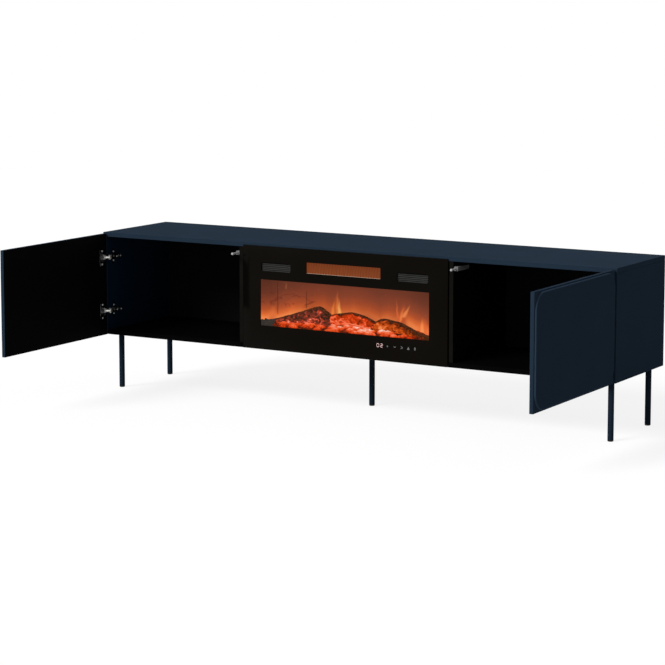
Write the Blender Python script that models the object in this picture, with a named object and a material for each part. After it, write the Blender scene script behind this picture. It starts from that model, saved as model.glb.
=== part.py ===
"""A low TV cabinet on five round legs, with a door at each end and an electric fireplace between.

Axes: +X to the right, +Y to the back, +Z up, seen by someone in front of the cabinet.
Origin: on the floor under the centre leg. The doors rest open at a right angle.
What is left and right of the middle is built once, for the left, and mirrored.
"""

import math

import bmesh
import bpy
from mathutils import Matrix, Vector

mm = 0.001
LEFT = -1
RIGHT = 1
SIDE_NAMES = {LEFT: "left", RIGHT: "right"}

# Clearances
seam = 0.3 * mm                 # between pieces that touch
running_gap = 0.3 * mm          # round a pin or a shaft

# Overall sizes
width = 2000 * mm
depth = 397 * mm
carcass_height = 370 * mm
leg_height = 200 * mm

# Boards
board = 16 * mm
back_board = 3 * mm
board_edge = 0.8 * mm           # softened edge of a board
bay_width = 805 * mm            # between the two dividers
vent_cutout = (300 * mm, 120 * mm)
vent_cutout_corner = 20 * mm
vent_cutout_above = 40 * mm     # above the bottom panel's underside

# Legs
leg_diameter = 20 * mm
leg_wall = 1.5 * mm
leg_inset_side = 37.6 * mm
leg_inset_front = 55 * mm
leg_inset_rear = 35 * mm
stud_diameter = 8 * mm
stud_length = 11 * mm
glide_height = 6 * mm
glide_plug = 12 * mm
glide_rounding = 3 * mm

# Doors
door_lap = 6 * mm               # closed door's free edge outside the middle bay
door_top_gap = 4 * mm           # door's top edge below the carcass's
door_slab = 13 * mm
door_field = 5.5 * mm           # how far the raised field stands out
field_inset_ends = 4 * mm
field_inset_top = 8 * mm
field_corner = 55 * mm
field_rounding = 2.5 * mm
door_reveal = 1.5 * mm          # closed door's edge inside the cabinet's side
door_gap = 2 * mm               # closed door in front of the carcass
hinge_throw = 16.5 * mm         # open door's inner face from where its hinge edge lies when closed
open_edge_ahead = 5.3 * mm      # open door's hinge edge in front of the carcass

# Cup hinges, in plan: u runs from the door's hinge edge, v into the door from its inner face
hinge_insets = (87 * mm, 85 * mm)   # hinge centres from the door's lower and upper edges
cup_diameter = 35 * mm
cup_depth = 11.5 * mm
cup_wall = 0.8 * mm
cup_from_edge = 3 * mm
cup_clearance = 0.3 * mm
wing_height = 65 * mm
wing_near = 1.0 * mm            # the wing's nearer edge past the cup's centre, towards the door's edge
wing_rim = 2.5 * mm             # the wing past the cup's far side
wing_corner = 5 * mm
wing_thickness = 1.0 * mm
rim_step = 0.1 * mm             # the cup's rim stands this much prouder than its wing
pin_radius = 1.2 * mm
eye_wall = 0.8 * mm
link_half_width = 1.3 * mm
sleeve_step = 0.1 * mm          # the sleeve and the cheeks' pads are this much slimmer than the eyes
door_pin_outer = (7.6 * mm, 5.0 * mm)
door_pin_inner = (10.5 * mm, 2.2 * mm)
outer_link_reach = 18 * mm      # the outer link's pivot from its chord
inner_pivot_shift = (5.9 * mm, -4.6 * mm)
outer_link_bend = (10.9 * mm, 0.0 * mm)
inner_link_half = 2.4 * mm      # half thickness of the layers, across the hinge
ear_layer = (2.8 * mm, 3.8 * mm)
cheek_layer = (4.2 * mm, 5.6 * mm)
boss_layer = (6.0 * mm, 8.5 * mm)
arm_layer = (6.0 * mm, 7.4 * mm)
extra_opening = math.radians(10)

# Hinge arm and its mounting plate, from the side panel's inner face
arm_length = 66 * mm
arm_height = 14 * mm
arm_nose = 2.8 * mm             # round end about the fixed pins
arm_web = 1.4 * mm
arm_web_start = 0.33            # share of the way from the nose's top to the shoulder
arm_shoulder = (16 * mm, 15 * mm)   # highest point behind the pins: height, and place behind the front
arm_slope = 15 * mm             # from the shoulder down to the arm's height
plate_line = 37 * mm            # plate's centre behind the carcass front
plate_height = 54 * mm
plate_wing_width = 12 * mm
plate_wing_thickness = 1.5 * mm
plate_body = (52 * mm, 6.4 * mm)

# Push latches
latch_below_top = 24 * mm       # its axis below the top panel's underside
latch_size = (15 * mm, 82 * mm, 14 * mm)
latch_setback = 2 * mm
latch_edge = 1 * mm
plunger_radius = 3.2 * mm
plunger_tip = (4.2 * mm, 5 * mm)
plunger_reach = 34 * mm
plunger_engaged = 40 * mm
plunger_to_door = 0.5 * mm      # pressed plunger's tip to the closed door

# Fireplace: the glass front, heights above the carcass's underside
glass_side_gap = 2.5 * mm       # to the dividers' inner faces
glass_lift = 0.5 * mm
glass_top_gap = 8.5 * mm        # below the carcass's top
glass_thickness = 4 * mm
glass_edge = 0.5 * mm
outlet_tall = 37 * mm
outlet_below_top = 73.5 * mm    # its middle below the carcass's top
vent_slot = (118 * mm, 30 * mm)
vent_below_top = 80 * mm
vent_from_side = 62 * mm        # the vent's outer end inside the housing's side
vent_to_outlet = 63 * mm
outlet_corner = 2 * mm
vent_corner = 5 * mm

# Fireplace: sheet-steel housing
housing_side_gap = 14.5 * mm    # to the dividers
housing_depth = 135 * mm
housing_top_gap = 2 * mm
sheet = 1.2 * mm
fire_shelf = 66 * mm            # underside of the shelf that carries the fire
heater_shelf_below_top = 112 * mm   # underside of the heater's shelf, below the carcass's top
bracket_thickness = 2 * mm
spindle_bracket_half = 9 * mm
blower_bracket_half = 14 * mm
blower_bracket_over = 12 * mm   # above the blower's axis

# Fireplace: the fire
log_bed_end = 36 * mm           # from the housing's side
log_bed_front = 8 * mm          # from the housing's open front
log_bed_to_screen = 3 * mm
log_bed_heights = (17 * mm, 26 * mm)    # at its front and its back, above the fire's shelf
log_bed_swell = 3 * mm
log_bed_cells = (30, 4)
log_sides = 12
log_depth_share = 0.8           # a log's depth against its height
screen_end = 16 * mm
screen_top_gap = 6.5 * mm
screen_thickness = 3 * mm
screen_to_reflectors = 12 * mm
spindle_from_back = 38 * mm     # spindle's axis in front of the housing's back
spindle_height = 108 * mm
spindle_end = 63 * mm
spindle_past_bracket = 12 * mm
spindle_radius = 2.5 * mm
reflector_reach = 22 * mm       # from the axis to a reflector's edge
reflector_width = 20 * mm
reflector_thickness = 0.8 * mm
reflector_count = 20
reflector_turn = math.radians(72)
reflector_end = 30 * mm         # last reflector's middle from the spindle's end
spindle_motor_radius = 18 * mm
spindle_motor_depth = 15 * mm
light_board_end = 88 * mm
light_board_width = 14 * mm
light_board_thickness = 1.6 * mm
light_size = 3 * mm
light_height = 1.4 * mm
light_count = 20

# Fireplace: heater
blower_behind = 70 * mm
blower_above_shelf = 44 * mm    # its axis above the underside of the heater's shelf
blower_radius = 21 * mm
blower_short = 20 * mm          # each end inside the outlet's
blower_blades = 14
blade_width = 6.2 * mm
blade_thickness = 1.0 * mm
blade_lean = math.radians(35)
blade_rim = 0.8 * mm            # blades inside the discs' edges
blower_disc = 1.5 * mm
blower_shaft = 2.5 * mm
blower_shaft_past = 12 * mm
blower_to_bracket = 6 * mm
blower_motor_radius = 23 * mm
blower_motor_length = 48 * mm
motor_foot_inset = 8 * mm
motor_foot_half = 12 * mm
element_short = 10 * mm         # each end inside the outlet's
element_depth = 12 * mm
element_height = 58 * mm
element_behind = 16 * mm
element_channels = 18
channel_width = 9 * mm
channel_depth = 4 * mm
channel_from_foot = 18 * mm
channel_from_head = 6 * mm
grille_rim = 5 * mm
grille_corner = 3 * mm
grille_lip = 1 * mm             # grille's opening past the glass's slot
grille_depth = 8 * mm
grille_recess = 4.5 * mm
outlet_bars = 28
bar_thickness = 1.6 * mm
vent_louvres = 5
louvre_slope = 0.5              # a louvre's rise towards the back

# Fireplace: controls and cord entry
control_board_size = (190 * mm, 1.6 * mm, 28 * mm)
control_board_centre = (205 * mm, 51 * mm)
display_size = (34 * mm, 6 * mm, 22 * mm)
display_from_middle = 141 * mm
touch_spring_radius = 4 * mm
touch_key_first = 170 * mm
touch_key_pitch = 26.6 * mm
touch_key_count = 5
gland_from_middle = 300 * mm
gland_height = 45 * mm
gland_radius = 8 * mm
gland_flange = 11 * mm
gland_bore = 3.6 * mm
gland_inside = 6 * mm
gland_flange_thickness = 4 * mm
gland_outside = 12 * mm

# The logs: places along the front from the middle, heights above the carcass's underside, radii
left_log = ((-345 * mm, 85 * mm, 8 * mm), (-288 * mm, 96 * mm, 13 * mm), (-232 * mm, 108 * mm, 17 * mm),
            (-175 * mm, 123 * mm, 21 * mm), (-117 * mm, 136 * mm, 26 * mm), (-84 * mm, 129 * mm, 19 * mm),
            (-62 * mm, 122 * mm, 10 * mm))
middle_log = ((-97 * mm, 110 * mm, 12 * mm), (-60 * mm, 121 * mm, 18 * mm), (-22 * mm, 125 * mm, 21 * mm),
              (5 * mm, 128 * mm, 23 * mm), (40 * mm, 125 * mm, 23 * mm), (78 * mm, 118 * mm, 20 * mm),
              (118 * mm, 107 * mm, 13 * mm))
right_log = ((88 * mm, 97 * mm, 13 * mm), (115 * mm, 113 * mm, 18 * mm), (138 * mm, 118 * mm, 21 * mm),
             (172 * mm, 115 * mm, 21 * mm), (217 * mm, 108 * mm, 19 * mm), (256 * mm, 96 * mm, 14 * mm),
             (284 * mm, 89 * mm, 11 * mm), (338 * mm, 84 * mm, 8 * mm))

# Places worked out from the sizes above
front = -depth / 2
rear = depth / 2
carcass_bottom = leg_height
carcass_top = leg_height + carcass_height
top_underside = carcass_top - board
bottom_topside = carcass_bottom + board
side_inner = width / 2 - board
bay_half = bay_width / 2
inside_rear = rear - back_board
carcass_split = bay_half + board / 2
door_width = width / 2 - door_reveal - bay_half - door_lap
door_height = carcass_height - door_top_gap
door_middle = carcass_bottom + door_height / 2
hinge_heights = (hinge_insets[0], door_height - hinge_insets[1])
latch_height = carcass_height - board - latch_below_top
plunger_travel = plunger_reach - door_gap + plunger_to_door
glass_width = bay_width - 2 * glass_side_gap
glass_height = carcass_height - glass_lift - glass_top_gap
housing_width = bay_width - 2 * housing_side_gap
outlet_slot = (housing_width - 2 * (vent_from_side + vent_slot[0] + vent_to_outlet), outlet_tall)
outlet_height = carcass_height - outlet_below_top
vent_height = carcass_height - vent_below_top
vent_from_middle = housing_width / 2 - vent_from_side - vent_slot[0] / 2
heater_shelf = carcass_height - heater_shelf_below_top
spindle_behind = housing_depth - spindle_from_back
spindle_length = housing_width - 2 * spindle_end
spindle_bracket = spindle_length / 2 - spindle_past_bracket
screen_behind = spindle_behind - reflector_reach - screen_to_reflectors - screen_thickness
log_bed_half = housing_width / 2 - log_bed_end
log_bed_depth = (log_bed_front, screen_behind - log_bed_to_screen)
light_board_length = housing_width - 2 * light_board_end
blower_height = heater_shelf + blower_above_shelf
blower_length = outlet_slot[0] - 2 * blower_short
blower_bracket = blower_length / 2 + blower_to_bracket
element_length = outlet_slot[0] - 2 * element_short
fire_floor = carcass_bottom + fire_shelf + sheet + seam
heater_floor = carcass_bottom + heater_shelf + sheet + seam


def material(name, colour, roughness, metallic=0.0):
    """A Principled surface of one plain colour."""
    surface = bpy.data.materials.new(name)
    surface.use_nodes = True
    shader = surface.node_tree.nodes["Principled BSDF"]
    shader.inputs["Base Color"].default_value = (*colour, 1.0)
    shader.inputs["Roughness"].default_value = roughness
    shader.inputs["Metallic"].default_value = metallic
    surface.diffuse_color = (*colour, 1.0)
    return surface


def add_box(shape, corner_a, corner_b):
    """A box between two opposite corners."""
    made = bmesh.ops.create_cube(shape, size=1.0)
    low = [min(a, b) for a, b in zip(corner_a, corner_b)]
    high = [max(a, b) for a, b in zip(corner_a, corner_b)]
    for vertex in made["verts"]:
        for axis in range(3):
            vertex.co[axis] = low[axis] + (vertex.co[axis] + 0.5) * (high[axis] - low[axis])


def box(corner_a, corner_b):
    shape = bmesh.new()
    add_box(shape, corner_a, corner_b)
    return shape


def add_prism(shape, outline, low, high, axis):
    """An outline of points in the plane across an axis, extruded from low to high along it.

    The outline's coordinates are (x, y) for axis z, (y, z) for axis x and (x, z) for axis y.
    """
    def at(point, along):
        if axis == "z":
            return (point[0], point[1], along)
        if axis == "x":
            return (along, point[0], point[1])
        return (point[0], along, point[1])
    lower = [shape.verts.new(at(point, low)) for point in outline]
    upper = [shape.verts.new(at(point, high)) for point in outline]
    shape.faces.new(lower)
    shape.faces.new(upper)
    for i in range(len(outline)):
        j = (i + 1) % len(outline)
        shape.faces.new((lower[i], lower[j], upper[j], upper[i]))
    bmesh.ops.recalc_face_normals(shape, faces=shape.faces)


def prism(outline, low, high, axis):
    shape = bmesh.new()
    add_prism(shape, outline, low, high, axis)
    return shape


def arc(centre, radius, start, end, steps):
    """Points on an arc, angles in degrees, both ends included."""
    points = []
    for i in range(steps + 1):
        angle = math.radians(start + (end - start) * i / steps)
        points.append((centre[0] + radius * math.cos(angle), centre[1] + radius * math.sin(angle)))
    return points


def circle(centre, radius, steps):
    return arc(centre, radius, 0, 360, steps)[:-1]


def rounded_rectangle(centre, size, corner, steps):
    half_a = size[0] / 2 - corner
    half_b = size[1] / 2 - corner
    points = []
    for quarter, (sign_a, sign_b) in enumerate(((1, 1), (-1, 1), (-1, -1), (1, -1))):
        middle = (centre[0] + sign_a * half_a, centre[1] + sign_b * half_b)
        points += arc(middle, corner, 90 * quarter, 90 * quarter + 90, steps)
    return points


def stadium(start, end, radius, steps=5):
    """The outline of a bar with round ends, between the centres of its two ends."""
    heading = math.degrees(math.atan2(end[1] - start[1], end[0] - start[0]))
    return (arc(end, radius, heading - 90, heading + 90, steps)
            + arc(start, radius, heading + 90, heading + 270, steps))


def strap(path, half_width, radii, steps=9):
    """The outline of a link: a bar along a path of plan points, with a round eye at each end."""
    points = [Vector(point) for point in path]

    def eye(centre, towards, radius):
        heading = math.degrees(math.atan2(towards.y, towards.x))
        dip = math.degrees(math.asin(half_width / radius))
        return arc(tuple(centre), radius, heading + dip, heading - dip + 360, steps)

    right_side = []
    left_side = []
    for before, bend, after in zip(points, points[1:], points[2:]):
        incoming = (bend - before).normalized()
        outgoing = (after - bend).normalized()
        across = Vector((-incoming.y - outgoing.y, incoming.x + outgoing.x)).normalized()
        reach = half_width / across.dot(Vector((-incoming.y, incoming.x)))
        right_side.append(tuple(bend - across * reach))
        left_side.append(tuple(bend + across * reach))
    return (eye(points[0], points[1] - points[0], radii[0]) + right_side
            + eye(points[-1], points[-2] - points[-1], radii[1]) + left_side[::-1])


def turned(profile, steps, axis, centre=(0, 0, 0)):
    """A solid of revolution. The profile runs from the axis out and back to it: (radius, along)."""
    shape = bmesh.new()
    rings = []
    for radius, along in profile:
        if radius < 1e-9:
            rings.append([shape.verts.new((0, 0, along))])
            continue
        ring = []
        for i in range(steps):
            angle = 2 * math.pi * i / steps
            ring.append(shape.verts.new((radius * math.cos(angle), radius * math.sin(angle), along)))
        rings.append(ring)
    for ring, following in zip(rings, rings[1:]):
        for i in range(steps):
            j = (i + 1) % steps
            corners = [ring[i % len(ring)], ring[j % len(ring)],
                       following[j % len(following)], following[i % len(following)]]
            shape.faces.new(list(dict.fromkeys(corners)))
    bmesh.ops.recalc_face_normals(shape, faces=shape.faces)
    turn = {"z": Matrix.Identity(4),
            "x": Matrix.Rotation(math.pi / 2, 4, "Y"),
            "y": Matrix.Rotation(-math.pi / 2, 4, "X")}[axis]
    bmesh.ops.transform(shape, matrix=Matrix.Translation(centre) @ turn, verts=shape.verts)
    return shape


def mirrored(shape, side):
    """The left-hand shape as it is, or its mirror image for the right."""
    if side == RIGHT:
        for vertex in shape.verts:
            vertex.co.x = -vertex.co.x
        bmesh.ops.reverse_faces(shape, faces=shape.faces)
    return shape


def make_object(name, shape, location, parent):
    mesh = bpy.data.meshes.new(name)
    shape.to_mesh(mesh)
    shape.free()
    made = bpy.data.objects.new(name, mesh)
    bpy.context.scene.collection.objects.link(made)
    made.location = location
    made.parent = parent
    return made


def piece(name, shape, surface, location=(0, 0, 0), side=LEFT, parent=None, smooth_angle=None):
    """A sub-part: its shape is given round its own origin, as the left one lies."""
    place = Vector(location)
    if side == RIGHT:
        place.x = -place.x
    made = make_object(name, mirrored(shape, side), place, parent)
    made.data.materials.append(surface)
    if smooth_angle is not None:
        made.data.shade_smooth()
        made.data.set_sharp_from_angle(angle=math.radians(smooth_angle))
    return made


def change(target, shape, operation, side=LEFT):
    """Cut a shape out of a piece, or weld it on, with a hidden guide in the piece's own place."""
    guide = make_object(target.name + "_guide", mirrored(shape, side), target.location, target.parent)
    guide.hide_render = True
    guide.display_type = "WIRE"
    step = target.modifiers.new(operation.lower(), "BOOLEAN")
    step.operation = operation
    step.solver = "EXACT"
    step.object = guide


def cut(target, shape, side=LEFT):
    change(target, shape, "DIFFERENCE", side)


def weld(target, shape, side=LEFT):
    change(target, shape, "UNION", side)


def soften(target, amount, segments=1):
    step = target.modifiers.new("softened edges", "BEVEL")
    step.width = amount
    step.segments = segments
    step.limit_method = "ANGLE"
    step.angle_limit = math.radians(50)


def pivot(name, location, side=LEFT, parent=None):
    """An empty on a joint's axis."""
    made = bpy.data.objects.new(name, None)
    bpy.context.scene.collection.objects.link(made)
    made.location = (location[0] * (-1 if side == RIGHT else 1), location[1], location[2])
    made.parent = parent
    return made


def above(height):
    """A height above the floor from one above the carcass's underside."""
    return carcass_bottom + height


def behind(distance):
    """A place along Y from a distance behind the carcass's front."""
    return front + distance


# Hinge geometry in plan, for the left door: points are (x, y)

closed_edge = -(width / 2 - door_reveal)
closed_face = front - door_gap
open_face = closed_edge + hinge_throw
open_edge = front - open_edge_ahead


def opened(u, v):
    """A point of the door in plan, with the door open at a right angle."""
    return Vector((open_face - v, open_edge - u))


def closed(u, v):
    """A point of the door in plan, with the door closed."""
    return Vector((closed_edge + u, closed_face - v))


def rotated(vector, angle):
    cosine = math.cos(angle)
    sine = math.sin(angle)
    return Vector((cosine * vector.x - sine * vector.y, sine * vector.x + cosine * vector.y))


def outer_pivot():
    """The outer link's fixed pivot: as far from the door's pin when open as when closed."""
    start = opened(*door_pin_outer)
    end = closed(*door_pin_outer)
    chord = end - start
    across = Vector((chord.y, -chord.x)).normalized()
    if across.x < 0:
        across = -across
    return (start + end) / 2 + across * outer_link_reach, 2 * math.atan2(chord.length / 2, outer_link_reach)


pivot_outer, link_turn = outer_pivot()
pin_outer = opened(*door_pin_outer)
pivot_inner = pivot_outer + Vector(inner_pivot_shift)
door_turn = math.pi / 2 + link_turn


def door_point(u, v, closing):
    """A point of the door as it closes: closing is 0 when open square and 1 when closed."""
    pin = pivot_outer + rotated(pin_outer - pivot_outer, -link_turn * closing)
    return pin + rotated(opened(u, v) - pin_outer, (door_turn - link_turn) * closing)


def fit_inner_link():
    """The inner link's length, its angle at rest, its turn and the play its open end needs.

    The link turns in a fixed proportion to the door, so its angle is the straight line that
    lies closest to the true angles, and the play is the largest distance left over.
    """
    count = 40
    lowest = -extra_opening / (math.pi / 2)
    samples = [lowest + (1 - lowest) * i / count for i in range(count + 1)]
    arms = [door_point(*door_pin_inner, closing) - pivot_inner for closing in samples]
    angles = [math.atan2(arm.y, arm.x) % (2 * math.pi) for arm in arms]
    lengths = [arm.length for arm in arms]
    length = (min(lengths) + max(lengths)) / 2
    mean_sample = sum(samples) / len(samples)
    mean_angle = sum(angles) / len(angles)
    spread = sum((s - mean_sample) ** 2 for s in samples)
    slope = sum((s - mean_sample) * (a - mean_angle) for s, a in zip(samples, angles)) / spread
    at_rest = mean_angle - slope * mean_sample
    play = 0.0
    for closing, arm in zip(samples, arms):
        angle = at_rest + slope * closing
        end = Vector((length * math.cos(angle), length * math.sin(angle)))
        play = max(play, (end - arm).length)
    return length, at_rest, slope, play


inner_length, inner_angle, inner_turn, open_play = fit_inner_link()


# Carcass

def build_carcass(navy, black):
    top = piece("top_panel",
                box((-width / 2, front, top_underside), (width / 2, rear, carcass_top)), navy)
    soften(top, board_edge)
    bottom = piece("bottom_panel",
                   box((-side_inner + seam, front, carcass_bottom),
                       (side_inner - seam, inside_rear - seam, bottom_topside)), black)
    soften(bottom, board_edge)
    for x, y in leg_places():
        hole = prism(circle((x, y), stud_diameter / 2 + running_gap, 12),
                     carcass_bottom - board, carcass_bottom + stud_length + seam, "z")
        cut(bottom, hole)
    for side, name in SIDE_NAMES.items():
        panel = piece(name + "_side_panel",
                      box((-width / 2, front, carcass_bottom),
                          (-side_inner, rear, top_underside - seam)), navy, side=side)
        soften(panel, board_edge)
        divider = piece(name + "_divider",
                        box((-bay_half - board, front, bottom_topside + seam),
                            (-bay_half, inside_rear - seam, top_underside - seam)), black, side=side)
        soften(divider, board_edge)
        piece(name + "_back_panel",
              box((-side_inner + seam, inside_rear, carcass_bottom),
                  (-carcass_split - seam, rear, top_underside - seam)), black, side=side)
    middle = piece("center_back_panel",
                   box((-carcass_split + seam, inside_rear, carcass_bottom),
                       (carcass_split - seam, rear, top_underside - seam)), black)
    opening = rounded_rectangle((0, above(vent_cutout_above + vent_cutout[1] / 2)), vent_cutout,
                                vent_cutout_corner, 4)
    cut(middle, prism(opening, inside_rear - board, rear + board, "y"))


def leg_places():
    x = width / 2 - leg_inset_side
    places = [(-x, front + leg_inset_front), (x, front + leg_inset_front)]
    places += [(-x, rear - leg_inset_rear), (x, rear - leg_inset_rear), (0, 0)]
    return places


def build_legs(steel, plastic):
    """Round tubes with a closed top and a stud, each on a rounded plastic glide."""
    names = ("front_left", "front_right", "rear_left", "rear_right", "center")
    outer = leg_diameter / 2
    inner = outer - leg_wall
    top = carcass_bottom - seam
    tube = [(0, top + stud_length), (stud_diameter / 2, top + stud_length), (stud_diameter / 2, top),
            (outer, top), (outer, glide_height + seam), (inner, glide_height + seam),
            (inner, top - leg_wall), (0, top - leg_wall)]
    plug = inner - seam
    foot = [(0, glide_height + glide_plug), (plug, glide_height + glide_plug), (plug, glide_height),
            (outer, glide_height), (outer, glide_rounding)]
    foot += arc((outer - glide_rounding, glide_rounding), glide_rounding, 0, -90, 2)[1:]
    foot += [(0, 0)]
    for name, (x, y) in zip(names, leg_places()):
        piece(name + "_leg", turned(tube, 18, "z"), steel, (x, y, 0), smooth_angle=40)
        piece(name + "_leg_glide", turned(foot, 18, "z"), plastic, (x, y, 0), smooth_angle=50)


# Doors and hinges

def door_local(u, v):
    """A plan point of the open door, from the axis of the door's pin."""
    point = opened(u, v) - pin_outer
    return (point.x, point.y)


def build_door(side, navy):
    """A board with a raised field that has large round corners."""
    name = SIDE_NAMES[side]
    axis = pivot(name + "_door_pivot", (pin_outer.x, pin_outer.y, door_middle), side)
    half = door_height / 2
    slab = piece(name + "_door",
                 box((*door_local(0, 0), -half), (*door_local(door_width, door_slab), half)),
                 navy, side=side, parent=axis, smooth_angle=30)
    soften(slab, board_edge)
    size = (door_width - 2 * field_inset_ends, door_height - 2 * field_inset_top)
    middle = (door_local(door_width / 2, 0)[1], 0)
    outline = rounded_rectangle(middle, size, field_corner, 8)
    buried = door_local(0, door_slab - seam)[0]
    face = door_local(0, door_slab + door_field)[0]
    field = prism(outline, buried, face, "x")
    rim = [edge for edge in field.edges if all(abs(v.co.x - face) < seam / 2 for v in edge.verts)]
    bmesh.ops.bevel(field, geom=rim, offset=field_rounding, segments=3, profile=0.5, affect="EDGES")
    weld(slab, field, side)
    for height in hinge_heights:
        hole = turned([(0, 0), (cup_diameter / 2 + cup_clearance, 0),
                       (cup_diameter / 2 + cup_clearance, -2 * cup_depth), (0, -2 * cup_depth)], 28, "x",
                      (door_local(0, cup_depth + cup_clearance)[0] + 2 * cup_depth,
                       door_local(cup_from_edge + cup_diameter / 2, 0)[1],
                       above(height) - door_middle))
        cut(slab, hole, side)
    return axis


def wing_outline(along, level):
    """The plate outside the cup's wall, open towards the door's edge, in the plane (y, z)."""
    near = along + wing_near
    far = along - cup_diameter / 2 - wing_rim
    high = wing_height / 2 - wing_corner
    outline = [(near, level + wing_height / 2)]
    outline += arc((far + wing_corner, level + high), wing_corner, 90, 180, 4)
    outline += arc((far + wing_corner, level - high), wing_corner, 180, 270, 4)
    outline += [(near, level - wing_height / 2)]
    outline += arc((along, level), cup_diameter / 2 - cup_wall / 2, 270, 90, 14)
    return outline


def build_cup(side, which, height, steel, axis):
    """Pressed cup with a wing for two screws, two ears for the inner pin and bosses for the outer."""
    centre = cup_from_edge + cup_diameter / 2
    face = door_local(0, -seam)[0]
    top = face + wing_thickness
    floor = door_local(0, cup_depth)[0]
    along = door_local(centre, 0)[1]
    level = above(height) - door_middle
    radius = cup_diameter / 2
    rim = (face + rim_step, top + rim_step)
    bowl = [(0, floor), (radius, floor), (radius, rim[0]), (radius + cup_wall, rim[0]),
            (radius + cup_wall, rim[1]), (radius - cup_wall, rim[1]),
            (radius - cup_wall, floor + cup_wall), (0, floor + cup_wall)]
    name = SIDE_NAMES[side] + "_" + which + "_hinge_cup"
    cup = piece(name, turned(bowl, 28, "x", (0, along, level)), steel, side=side, parent=axis,
                smooth_angle=35)
    weld(cup, prism(wing_outline(along, level), face, top, "x"), side)
    boss_half = pin_radius + eye_wall
    for layer, pin in ((ear_layer, door_pin_inner), (boss_layer, door_pin_outer)):
        for direction in (-1, 1):
            start = door_local(*pin)
            end = door_local(pin[0], cup_depth - cup_wall / 2 - boss_half)
            low, high = sorted((level + direction * layer[0], level + direction * layer[1]))
            weld(cup, prism(stadium(start, end, boss_half), low, high, "z"), side)
    pin_end = (ear_layer[0] + ear_layer[1]) / 2
    inner_pin = circle(door_local(*door_pin_inner), pin_radius, 10)
    weld(cup, prism(inner_pin, level - pin_end, level + pin_end, "z"), side)
    stub_start = (ear_layer[1] + cheek_layer[0]) / 2
    stub_end = (boss_layer[0] + boss_layer[1]) / 2
    outer_pin = circle(door_local(*door_pin_outer), pin_radius, 10)
    for direction in (-1, 1):
        low, high = sorted((level + direction * stub_start, level + direction * stub_end))
        weld(cup, prism(outer_pin, low, high, "z"), side)


def build_outer_link(side, which, height, steel, axis):
    """Two bent cheeks on a sleeve, which hook round the open door's edge.

    Pads thicken them from the sleeve to the bend, with just room for the inner link between.
    """
    level = above(height) - door_middle
    bore = pin_radius + running_gap
    eye = bore + eye_wall
    door_end = pin_outer - pivot_outer
    bend = door_end + Vector(outer_link_bend)
    outline = strap(((0, 0), bend, door_end), link_half_width, (eye, eye))
    name = SIDE_NAMES[side] + "_" + which + "_outer_link"
    inside = cheek_layer[0] + seam
    pad_start = inner_link_half + running_gap
    pad = stadium((0, 0), bend, link_half_width - sleeve_step)
    sleeve = prism(circle((0, 0), eye - sleeve_step, 12), level - inside, level + inside, "z")
    link = piece(name, sleeve, steel, side=side, parent=axis, smooth_angle=35)
    for direction in (-1, 1):
        low, high = sorted((level + direction * cheek_layer[0], level + direction * cheek_layer[1]))
        weld(link, prism(outline, low, high, "z"), side)
        low, high = sorted((level + direction * pad_start, level + direction * inside))
        weld(link, prism(pad, low, high, "z"), side)
    through = cheek_layer[1] + eye_wall
    for centre in ((0, 0), tuple(door_end)):
        cut(link, prism(circle(centre, bore, 12), level - through, level + through, "z"), side)


def build_inner_link(side, which, height, steel, axis):
    """A flat plate. Its eye on the door's pin is wide, because this pivot is the open one."""
    level = above(height) - door_middle
    bore = pin_radius + running_gap
    wide_bore = pin_radius + running_gap + open_play
    far = (inner_length * math.cos(inner_angle), inner_length * math.sin(inner_angle))
    name = SIDE_NAMES[side] + "_" + which + "_inner_link"
    low = level - inner_link_half
    high = level + inner_link_half
    outline = strap(((0, 0), far), link_half_width, (bore + eye_wall, wide_bore + eye_wall), 12)
    link = piece(name, prism(outline, low, high, "z"), steel, side=side, parent=axis, smooth_angle=35)
    for centre, radius in (((0, 0), bore), (far, wide_bore)):
        cut(link, prism(circle(centre, radius, 12), low - eye_wall, high + eye_wall, "z"), side)


def build_hinge_arm(side, which, height, steel):
    """A channel over the mounting plate, closed along its crest, with both fixed pins in its nose."""
    name = SIDE_NAMES[side] + "_" + which
    origin = (-side_inner, front, above(height))
    outer = pivot_outer - Vector((-side_inner, front))
    inner = pivot_inner - Vector((-side_inner, front))
    foot = seam + plate_wing_thickness + seam
    shoulder_height, shoulder_back = arm_shoulder
    slope_end = shoulder_back + arm_slope
    outline = [(foot, arm_length), (foot, shoulder_back)]
    outline += arc(tuple(outer), arm_nose, 180, 250, 3)
    outline += arc(tuple(inner), arm_nose, 250, 360, 5)
    crest = [(shoulder_height, shoulder_back), (arm_height, slope_end), (arm_height, arm_length)]
    crest_start = Vector((inner.x + arm_nose, inner.y)).lerp(Vector(crest[0]), arm_web_start)
    outline += crest
    crest = [tuple(crest_start)] + crest
    web = crest + [(x - arm_web, y) for x, y in crest[::-1]]
    arm = piece(name + "_hinge_arm",
                prism(outline, arm_layer[0], arm_layer[1], "z"), steel, origin, side, smooth_angle=30)
    weld(arm, prism(outline, -arm_layer[1], -arm_layer[0], "z"), side)
    middle = (arm_layer[0] + arm_layer[1]) / 2
    weld(arm, prism(web, -middle, middle, "z"), side)
    for centre in (outer, inner):
        weld(arm, prism(circle(tuple(centre), pin_radius, 10), -middle, middle, "z"), side)
    body_length, body_height = plate_body
    body_half = arm_layer[0] - running_gap
    body = box((seam, plate_line - body_length / 2, -body_half),
               (seam + body_height, plate_line + body_length / 2, body_half))
    plate = piece(name + "_mounting_plate", body, steel, origin, side, smooth_angle=30)
    wing = rounded_rectangle((plate_line, 0), (plate_wing_width, plate_height), plate_wing_width / 3, 4)
    weld(plate, prism(wing, seam, seam + plate_wing_thickness, "x"), side)


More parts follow.
